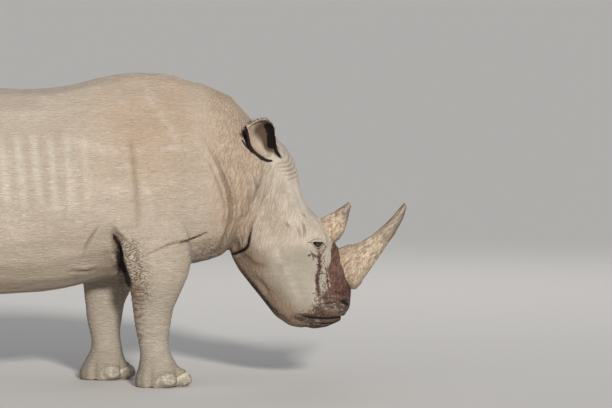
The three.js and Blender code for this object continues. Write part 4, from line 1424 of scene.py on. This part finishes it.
class HairSettings(bpy.types.PropertyGroup):
    tuft_count: IntProperty(
        name="Tail hairs", description="Hairs in the tail's tuft", default=520, min=20, max=3000
    )
    fringe_count: IntProperty(
        name="Ear hairs", description="Hairs on each ear's rim", default=520, min=20, max=3000
    )
    lash_count: IntProperty(
        name="Lashes", description="Lashes of each upper lid", default=42, min=4, max=200
    )
    dark: colour_property("Dark hair", "Hair of the tail and ear rims", (0.020, 0.014, 0.010))
    hair_tip: colour_property("Hair tips", "Bleached ends of the hairs", (0.09, 0.06, 0.04))


class StageSettings(bpy.types.PropertyGroup):
    key_strength: FloatProperty(
        name="Key light", description="Strength of the main light", default=3.6, min=0, max=20
    )
    fill_strength: FloatProperty(
        name="Fill light", description="Strength of the surroundings", default=0.36, min=0, max=5
    )
    floor: colour_property("Floor", "Colour of the floor", (0.62, 0.60, 0.57))


SETTINGS = {
    "rhino_skin": SkinSettings,
    "rhino_horn": HornSettings,
    "rhino_head": HeadSettings,
    "rhino_hair": HairSettings,
    "rhino_stage": StageSettings,
}

# ---- Horns, nails and eyes ---------------------------------------------------------------------

# Each horn: [x, z] on the upper edge, [x, z] on the lower edge, and the half width across.
HORNS = {
    "front_horn": [
        [1142, 742, 1186, 523, 92], [1210, 756, 1244, 526, 98], [1240, 764, 1284, 572, 86],
        [1282, 784, 1330, 640, 68], [1342, 822, 1386, 722, 50], [1384, 858, 1425, 778, 41],
        [1424, 897, 1462, 830, 34], [1474, 954, 1502, 908, 22], [1505, 990, 1519, 962, 12]],
    "rear_horn": [
        [1010, 880, 1096, 764, 60], [1052, 906, 1142, 790, 66], [1090, 925, 1170, 822, 57],
        [1127, 945, 1187, 864, 44], [1156, 964, 1199, 906, 32], [1180, 982, 1208, 944, 21],
        [1196, 993, 1214, 968, 11]],
}


TIP_TURNS = np.linspace(0.3, 1.3, 5)  # radians at which the rings that round a horn's tip lie
TIP_LENGTH = 9


def horn_rings(name):
    """Rings along a horn and over its tip, the share of its length at each, and the turn round it."""
    edges = spline(HORNS[name], 14)
    turn = np.linspace(0, 2 * np.pi, 96, endpoint=False)
    share = np.arange(len(edges)) / (len(edges) - 1)
    rings = []
    for t, (top_x, top_z, low_x, low_z, half) in zip(share, edges):
        centre = np.array([(top_x + low_x) / 2, 0, (top_z + low_z) / 2])
        up = np.array([top_x, 0, top_z]) - centre
        lip = 1 + 0.05 * bell(t - 0.12, 0.06)
        rings.append(centre + np.outer(np.sin(turn) * lip, up) + np.outer(np.cos(turn) * half * lip, ACROSS))
    edge, middle = rings[-1], rings[-1].mean(0)
    onwards = unit(middle - rings[-2].mean(0))
    for bend in TIP_TURNS:
        rings.append(middle + (edge - middle) * math.cos(bend) + onwards * math.sin(bend) * TIP_LENGTH)
    return np.array(rings), np.append(share, np.ones(len(TIP_TURNS))), turn


def horn_piece(name, material):
    """A horn lofted through its edges, with a flaring frayed base and fibres along it."""
    rings, share, turn = horn_rings(name)
    flat = rings.reshape(-1, 3)
    t = np.repeat(share, len(turn))
    c, s = np.tile([np.cos(turn), np.sin(turn)], len(rings))
    outward = unit((rings - rings.mean(axis=1, keepdims=True)).reshape(-1, 3))
    fibre = np.stack([c * 9, s * 9, t * 5], axis=1)
    strands = noise(fibre * 3, 1, 12) * 0.6 + noise(fibre * 7, [1, 1, 1.6], 13) * 0.4
    flakes = noise(flat, [34, 34, 22], 14) * 0.6 + noise(flat, [14, 14, 11], 15) * 0.4
    rough = 1 - smoothstep(0.35, 0.75, t)
    steps = np.floor(t * 9 + 0.5 * noise(fibre, 1, 16)) - t * 9
    relief = (1.2 + 1.6 * rough) * strands + 3.4 * rough * flakes - 2.2 * rough * steps
    relief *= smoothstep(0.0, 0.06, t) * (1 - smoothstep(0.97, 1.0, t) * 0.7)
    points, faces = skinned_rings((flat + outward * relief[:, None]).reshape(rings.shape))
    marks = {"along": np.append(t, [0, 1]), "under": np.append(np.clip(-s, 0, 1), [0, 0])}
    closed_piece(name + "_fibre", points, faces, "horn", name, material, **marks)


def nail_piece(name, tree, material):
    """A broad toenail that follows the toe: thin at its root, thick and chipped at its lower edge."""
    centre, axes, reach = nail_axes(name)
    turn = np.linspace(0, 2 * np.pi, 72, endpoint=False)
    bow = np.stack([np.sin(turn), np.cos(turn)], axis=1)
    bow /= (np.abs(bow) ** NAIL_SQUARENESS).sum(axis=1, keepdims=True) ** (1 / NAIL_SQUARENESS)
    jag = 1 + 0.05 * noise(np.column_stack([bow, np.full(len(bow), centre[0])]), [0.25, 0.25, 1], 17)
    rings = []
    for share in [0.02, *np.linspace(0.1, 1.0, 22)]:
        up, across = (bow * share * (jag[:, None] if share > 0.8 else 1)).T
        thick = NAIL_ROOT + NAIL_EDGE * smoothstep(0.6, -1.0, up)
        dome = thick * (1 - share**8) - 3.0 * smoothstep(0.9, 1.0, share)
        dome = dome + 0.5 * np.sin(up * 24 + 2 * across) * (1 - share**6)
        rings.append(on_toe(tree, centre, axes, reach, up, across, dome))
    for share in (0.9, 0.02):
        up, across = (bow * share).T
        rings.append(on_toe(tree, centre, axes, reach, up, across, np.full_like(up, -7.0)))
    points, faces = skinned_rings(np.array(rings))
    points += np.outer(noise(points, [5, 5, 26], 19) * 0.5, axes[0])
    points[:, 2] = np.maximum(points[:, 2], 2.0)
    closed_piece(name + "_plate", points, faces, "nail", name, material)


def on_toe(tree, centre, axes, reach, up, across, height):
    """Points at a height above the skin, found by looking inwards at places up and across a nail."""
    far = np.stack([np.full_like(up, 3.0), up, across], axis=1) * reach
    points = centre + far @ axes
    points[:, 2] = np.maximum(points[:, 2], 4.0)
    found = []
    for point in points:
        hit = tree.ray_cast(Vector(to_frame(point)), Vector(-axes[0]))[0]
        found.append(hit or tree.find_nearest(Vector(to_frame(point)))[0])
    return to_table(np.array(found)) + np.outer(height, axes[0])


def eye_piece(side, material):
    """The eyeball, with a raised cornea over an oval pupil."""
    look = unit(np.array([0.22, SIDES[side] * 0.97, -0.08]))
    level = unit(np.cross(look, [0, 0, 1]))
    upright = np.cross(level, look)
    turn = np.linspace(0, 2 * np.pi, 64, endpoint=False)
    c, s = np.cos(turn), np.sin(turn)
    rings, pupil, white = [], [], []
    for polar in np.linspace(0.02, math.pi - 0.02, 49):
        reach = BALL * (1 + 0.07 * bell(polar, 0.55))
        ring = np.outer(c, level) + np.outer(s, upright)
        rings.append(EYE[side] + look * reach * math.cos(polar) + ring * reach * math.sin(polar))
        pupil.append(1 - smoothstep(0.26, 0.32, np.hypot(c, 1.5 * s) * polar))
        white.append(np.full(len(turn), float(smoothstep(0.66, 0.80, polar))))
    points, faces = skinned_rings(np.array(rings))
    marks = {"pupil": np.append(pupil, [1, 0]), "white": np.append(white, [0, 1])}
    closed_piece(f"eyeball_{side}", points, faces, "eye", f"eye_{side}", material, **marks)


# ---- Hair --------------------------------------------------------------------------------------

PATCH = 0.003  # size of one hair's place on its unwrap
HAIR_STEPS = 6  # lengths that one hair is made of


def hair_faces(count):
    """Faces of hairs of three sides, each closed at both ends."""
    faces = []
    for start in range(0, count * (HAIR_STEPS + 1) * 3, (HAIR_STEPS + 1) * 3):
        last = start + HAIR_STEPS * 3
        for low in range(start, last, 3):
            high = low + 3
            faces += [(low + k, low + (k + 1) % 3, high + (k + 1) % 3, high + k) for k in range(3)]
        faces += [(start + 2, start + 1, start), (last, last + 1, last + 2)]
    return faces


def hair_piece(name, nodes, roots, leans, lengths, radius, droop, curl, unwrap, rng, material):
    """Thin tapered hairs, each a closed solid with a small patch of the OFBake map."""
    count = len(roots)
    t = np.linspace(0, 1, HAIR_STEPS + 1)
    wave = rng.normal(size=(count, 3))
    phase = rng.uniform(0, 2 * np.pi, (count, 1))
    path = roots[:, None] + leans[:, None] * (lengths[:, None] * t)[:, :, None]
    path[:, :, 2] -= droop * (lengths[:, None] * t**2)
    path += wave[:, None] * (curl * lengths[:, None] * np.sin(t * 3 + phase) * t)[:, :, None]
    across = unit(np.cross(leans, wave))
    other = unit(np.cross(leans, across))
    corners = np.arange(3)[:, None] * 2 * np.pi / 3
    around = across[:, None] * np.cos(corners) + other[:, None] * np.sin(corners)
    thin = radius * (1 - 0.85 * t**1.5)
    points = path[:, :, None] + around[:, None] * thin[:, None, None]
    mesh = mesh_of(name, points.reshape(-1, 3), hair_faces(count))
    along = np.tile(np.repeat(t, 3), count)
    set_attribute(mesh, "along", along)
    place = np.repeat(unwrap, len(t) * 3, axis=0)
    place += PATCH * np.stack([np.tile(np.arange(3) / 2, count * len(t)), along], axis=1)
    corner_points = np.empty(len(mesh.loops), np.int32)
    mesh.loops.foreach_get("vertex_index", corner_points)
    layer = mesh.uv_layers.new(name="OFBake")
    layer.data.foreach_set("uv", place[corner_points].astype(np.float32).ravel())
    finish_piece(link(name, mesh), nodes, material)


def tail_tuft_piece(look, material):
    """Coarse hairs that grow round the tail's end and hang below it."""
    rng = np.random.default_rng(11)
    count = look.tuft_count
    low, high = node_box("tail_tuft")
    middle, top = (low + high) / 2, high[2] + 30
    turn = rng.uniform(0, 2 * np.pi, count)
    rise = rng.uniform(0, 1, count) ** 1.3
    z = top - (top - low[2]) * 0.62 * rise
    size = 13 * (1 - 0.4 * rise)
    c, s = np.cos(turn), np.sin(turn)
    roots = np.stack([middle[0] - 3 + c * size, middle[1] + s * size, z], axis=1)
    spread = 0.16 + 0.1 * rng.uniform(size=count)
    leans = unit(np.stack([c * spread, s * spread, -np.ones(count)], axis=1))
    lengths = np.minimum(z - low[2] - 4, rng.uniform(70, 130, count))
    unwrap = np.stack([turn / (2 * np.pi) * 0.98, rise * 0.98], axis=1)
    hair_piece("tail_hair", ["tail_tuft"], roots, leans, lengths, 1.3, 0.0, 0.07, unwrap, rng, material)


def skin_tree():
    return BVHTree.FromObject(bpy.data.objects["hide"], bpy.context.evaluated_depsgraph_get())


def on_skin(tree, points):
    """The nearest points of the skin."""
    return to_table(np.array([tree.find_nearest(Vector(to_frame(point)))[0] for point in points]))


def ear_fringe_piece(side, look, tree, material):
    """Short dark hairs round the rim of an ear, longest at its tip."""
    rng = np.random.default_rng(21 + SIDES[side])
    count = look.fringe_count
    root, length, along, opening, upper = ear_frame(side)
    margin = spline(EAR_SECTIONS[3:], 10)
    edge = rng.choice([-1.0, -1.0, -1.0, -1.0, 1.0], count)
    place = rng.uniform(0, 1, count) ** 0.8 * (len(margin) - 1)
    share, half, shift, _, rim = (np.interp(place, np.arange(len(margin)), column) for column in margin.T)
    depth = rim * rng.uniform(-0.6, 0.6, count) - EAR_BOW * np.sin(share * np.pi)
    away = edge * half + shift
    points = root + np.outer(share * length, along) + np.outer(depth, opening) + np.outer(away, upper)
    leans = np.outer(edge * (1.05 - share), upper) * 2 + along * 0.5
    leans = unit(leans + rng.normal(size=leans.shape) * 0.22)
    lengths = rng.uniform(10, 19, count) + 14 * smoothstep(0.85, 1.0, share)
    unwrap = np.stack([share * 0.98, np.where(edge > 0, 0.75, 0.25) + depth / 400], axis=1)
    roots = on_skin(tree, points) - leans * 2
    hair_piece(f"ear_fringe_{side}", [], roots, leans, lengths, 0.8, 0.1, 0.08, unwrap, rng, material)


def lash_piece(side, look, tree, material):
    """Lashes along the upper lid."""
    sign = SIDES[side]
    rng = np.random.default_rng(31 + sign)
    count = look.lash_count
    s = np.linspace(-22, 22, count) + rng.uniform(-0.6, 0.6, count)
    arch = LID_LEVEL + LID_ABOVE * (1 - (s / EYE_LENGTH) ** 2)
    flat = np.ones(count)
    points = EYE[side] + np.stack([s + EYE_MIDDLE, flat * sign * 24, arch + 2], axis=1)
    leans = unit(np.stack([0.2 + s * 0.012, flat * sign * 0.9, flat * -0.15], axis=1))
    leans = unit(leans + rng.normal(size=leans.shape) * 0.08)
    lengths = rng.uniform(13, 19, count)
    unwrap = np.stack([(s + 30) / 62, flat * 0.5], axis=1)
    roots = on_skin(tree, points)
    hair_piece(f"lashes_{side}", [], roots, leans, lengths, 0.45, 0.35, 0.02, unwrap, rng, material)


# ---- Stage -------------------------------------------------------------------------------------

VIEW_CENTRE = to_frame([968, 0, 986])  # what the camera looks at
VIEW_WIDTH = 3366 * MM  # how much of the mid-plane the picture is wide
VIEW_DISTANCE = 30.0  # metres
VIEW_ELEVATION = math.radians(3.5)
SENSOR = 36.0
FLOOR_SIZE = 200.0  # metres from the middle of the floor to its edges
LIT_SPOT = Vector((0.3, 0, 0.8))  # what the area lights point at


def make_floor(look):
    corners = FLOOR_SIZE * np.array([(-1, -1, 0), (1, -1, 0), (1, 1, 0), (-1, 1, 0)])
    mesh = bpy.data.meshes.new("floor")
    mesh.from_pydata(corners.tolist(), [], [(0, 1, 2, 3)])
    s = Shader("floor")
    s.colour = s.mix(s.noise(3.0, 4, 0.6) * 0.3, look.floor, darker(look.floor, 0.9))
    mesh.materials.append(s.set(base_color=s.colour, roughness=0.9))
    link("floor", mesh)


def aimed(name, data, direction):
    """A lamp or a camera that looks along a direction."""
    piece = link(name, data)
    piece.rotation_mode = "QUATERNION"
    piece.rotation_quaternion = Vector(direction).to_track_quat("-Z", "Y")
    return piece


def area_light(name, place, energy, size, colour):
    lamp = bpy.data.lights.new(name, "AREA")
    lamp.energy = energy
    lamp.size = size
    lamp.color = colour
    aimed(name, lamp, LIT_SPOT - Vector(place)).location = place


def make_lights(scene, look):
    sun = bpy.data.lights.new("key", "SUN")
    sun.energy = look.key_strength
    sun.angle = math.radians(6)
    sun.color = (1.0, 0.975, 0.93)
    aimed("key", sun, (-0.20, 0.92, -0.32))
    area_light("fill", (-5.0, -8.0, 4.0), 60, 6.0, (0.93, 0.96, 1.0))
    area_light("rim", (2.0, 8.0, 6.0), 120, 5.0, (1.0, 0.98, 0.95))
    world = bpy.data.worlds.new("surroundings")
    scene.world = world
    world.use_nodes = True
    background = world.node_tree.nodes["Background"]
    background.inputs["Color"].default_value = (0.90, 0.93, 1.0, 1)
    background.inputs["Strength"].default_value = look.fill_strength
    scene.view_settings.view_transform = "Standard"


def make_camera(scene):
    data = bpy.data.cameras.new("camera")
    data.sensor_width = SENSOR
    data.lens = SENSOR * VIEW_DISTANCE / VIEW_WIDTH
    data.clip_end = 1000
    back = Vector((0, -math.cos(VIEW_ELEVATION), math.sin(VIEW_ELEVATION)))
    scene.camera = aimed("camera", data, -back)
    scene.camera.location = Vector(VIEW_CENTRE) + back * VIEW_DISTANCE


# ---- Operators ---------------------------------------------------------------------------------


class RHINO_OT_skin(bpy.types.Operator):
    """One skin over all the nodes of flesh, with its muscles, folds and wrinkles"""

    bl_idname = "rhino.skin"
    bl_label = "Skin"

    def execute(self, context):
        look = context.scene.rhino_skin
        clay = base_skin(look.voxel)
        shape_muscles(clay)
        clay.push(RIB_HEIGHT * rib_bands(clay))
        crease = cut_folds(clay, look.fold_depth)
        masks = masks_of(clay)
        raise_wrinkles(clay, masks)
        collar = heap_collars(clay)
        ear_shade_and_hair, ear_inside = ear_hollows(clay)
        # painted shade of the mouth, the nostrils and the lids
        dark = np.maximum.reduce([cut_mouth(clay), cut_nostrils(clay), roll_eyelids(clay)])
        part_toes(clay)
        crease = np.maximum(crease, bed_nails(clay))
        clay.p[:, 2] = np.maximum(clay.p[:, 2], 0)
        clay.refresh()
        mark_hide(clay, masks, crease, dark, ear_shade_and_hair, ear_inside, collar)
        clay.mesh.name = "hide"
        finish_piece(link("hide", clay.mesh), FLESH, hide_material(look))
        return {"FINISHED"}


class RHINO_OT_horns(bpy.types.Operator):
    """Both horns, fibrous at the base and worn at the tip"""

    bl_idname = "rhino.horns"
    bl_label = "Horns"

    def execute(self, context):
        material = horn_material(context.scene.rhino_horn)
        for name in HORNS:
            horn_piece(name, material)
        return {"FINISHED"}


class RHINO_OT_nails(bpy.types.Operator):
    """Three broad nails on each foot"""

    bl_idname = "rhino.nails"
    bl_label = "Nails"

    def execute(self, context):
        material = nail_material(context.scene.rhino_horn)
        tree = skin_tree()
        for name in NAILS:
            nail_piece(name, tree, material)
        return {"FINISHED"}


class RHINO_OT_eyes(bpy.types.Operator):
    """Eyeballs with an iris and an oval pupil"""

    bl_idname = "rhino.eyes"
    bl_label = "Eyes"

    def execute(self, context):
        material = eye_material(context.scene.rhino_head)
        for side in SIDES:
            eye_piece(side, material)
        return {"FINISHED"}


class RHINO_OT_hair(bpy.types.Operator):
    """The tail's tuft, the fringes of the ears, and the lashes"""

    bl_idname = "rhino.hair"
    bl_label = "Hair"

    def execute(self, context):
        look = context.scene.rhino_hair
        material = hair_material(look)
        tree = skin_tree()
        tail_tuft_piece(look, material)
        for side in SIDES:
            ear_fringe_piece(side, look, tree, material)
            lash_piece(side, look, tree, material)
        return {"FINISHED"}


class RHINO_OT_stage(bpy.types.Operator):
    """Floor, soft lights and camera"""

    bl_idname = "rhino.stage"
    bl_label = "Stage"

    def execute(self, context):
        look = context.scene.rhino_stage
        make_floor(look)
        make_lights(context.scene, look)
        make_camera(context.scene)
        return {"FINISHED"}


# ---- Add-on ------------------------------------------------------------------------------------

PIECES = [RHINO_OT_skin, RHINO_OT_horns, RHINO_OT_nails, RHINO_OT_eyes, RHINO_OT_hair, RHINO_OT_stage]


class RHINO_PT_panel(bpy.types.Panel):
    """Lists the steps that dress the animal"""

    bl_idname = "RHINO_PT_panel"
    bl_label = "White rhinoceros"
    bl_space_type = "VIEW_3D"
    bl_region_type = "UI"
    bl_category = "Rhinoceros"

    def draw(self, context):
        for settings, group in SETTINGS.items():
            box = self.layout.box()
            for name in group.__annotations__:
                box.prop(getattr(context.scene, settings), name)
        for operator in PIECES:
            self.layout.operator(operator.bl_idname)


CLASSES = [*SETTINGS.values(), *PIECES, RHINO_PT_panel]


def register():
    for one in CLASSES:
        bpy.utils.register_class(one)
    for name, group in SETTINGS.items():
        setattr(bpy.types.Scene, name, PointerProperty(type=group))


def unregister():
    for name in SETTINGS:
        delattr(bpy.types.Scene, name)
    for one in reversed(CLASSES):
        bpy.utils.unregister_class(one)


def main():
    register()
    bpy.ops.rhino.skin()
    bpy.ops.rhino.horns()
    bpy.ops.rhino.nails()
    bpy.ops.rhino.eyes()
    bpy.ops.rhino.hair()
    bpy.ops.rhino.stage()


if __name__ == "__main__":
    main()
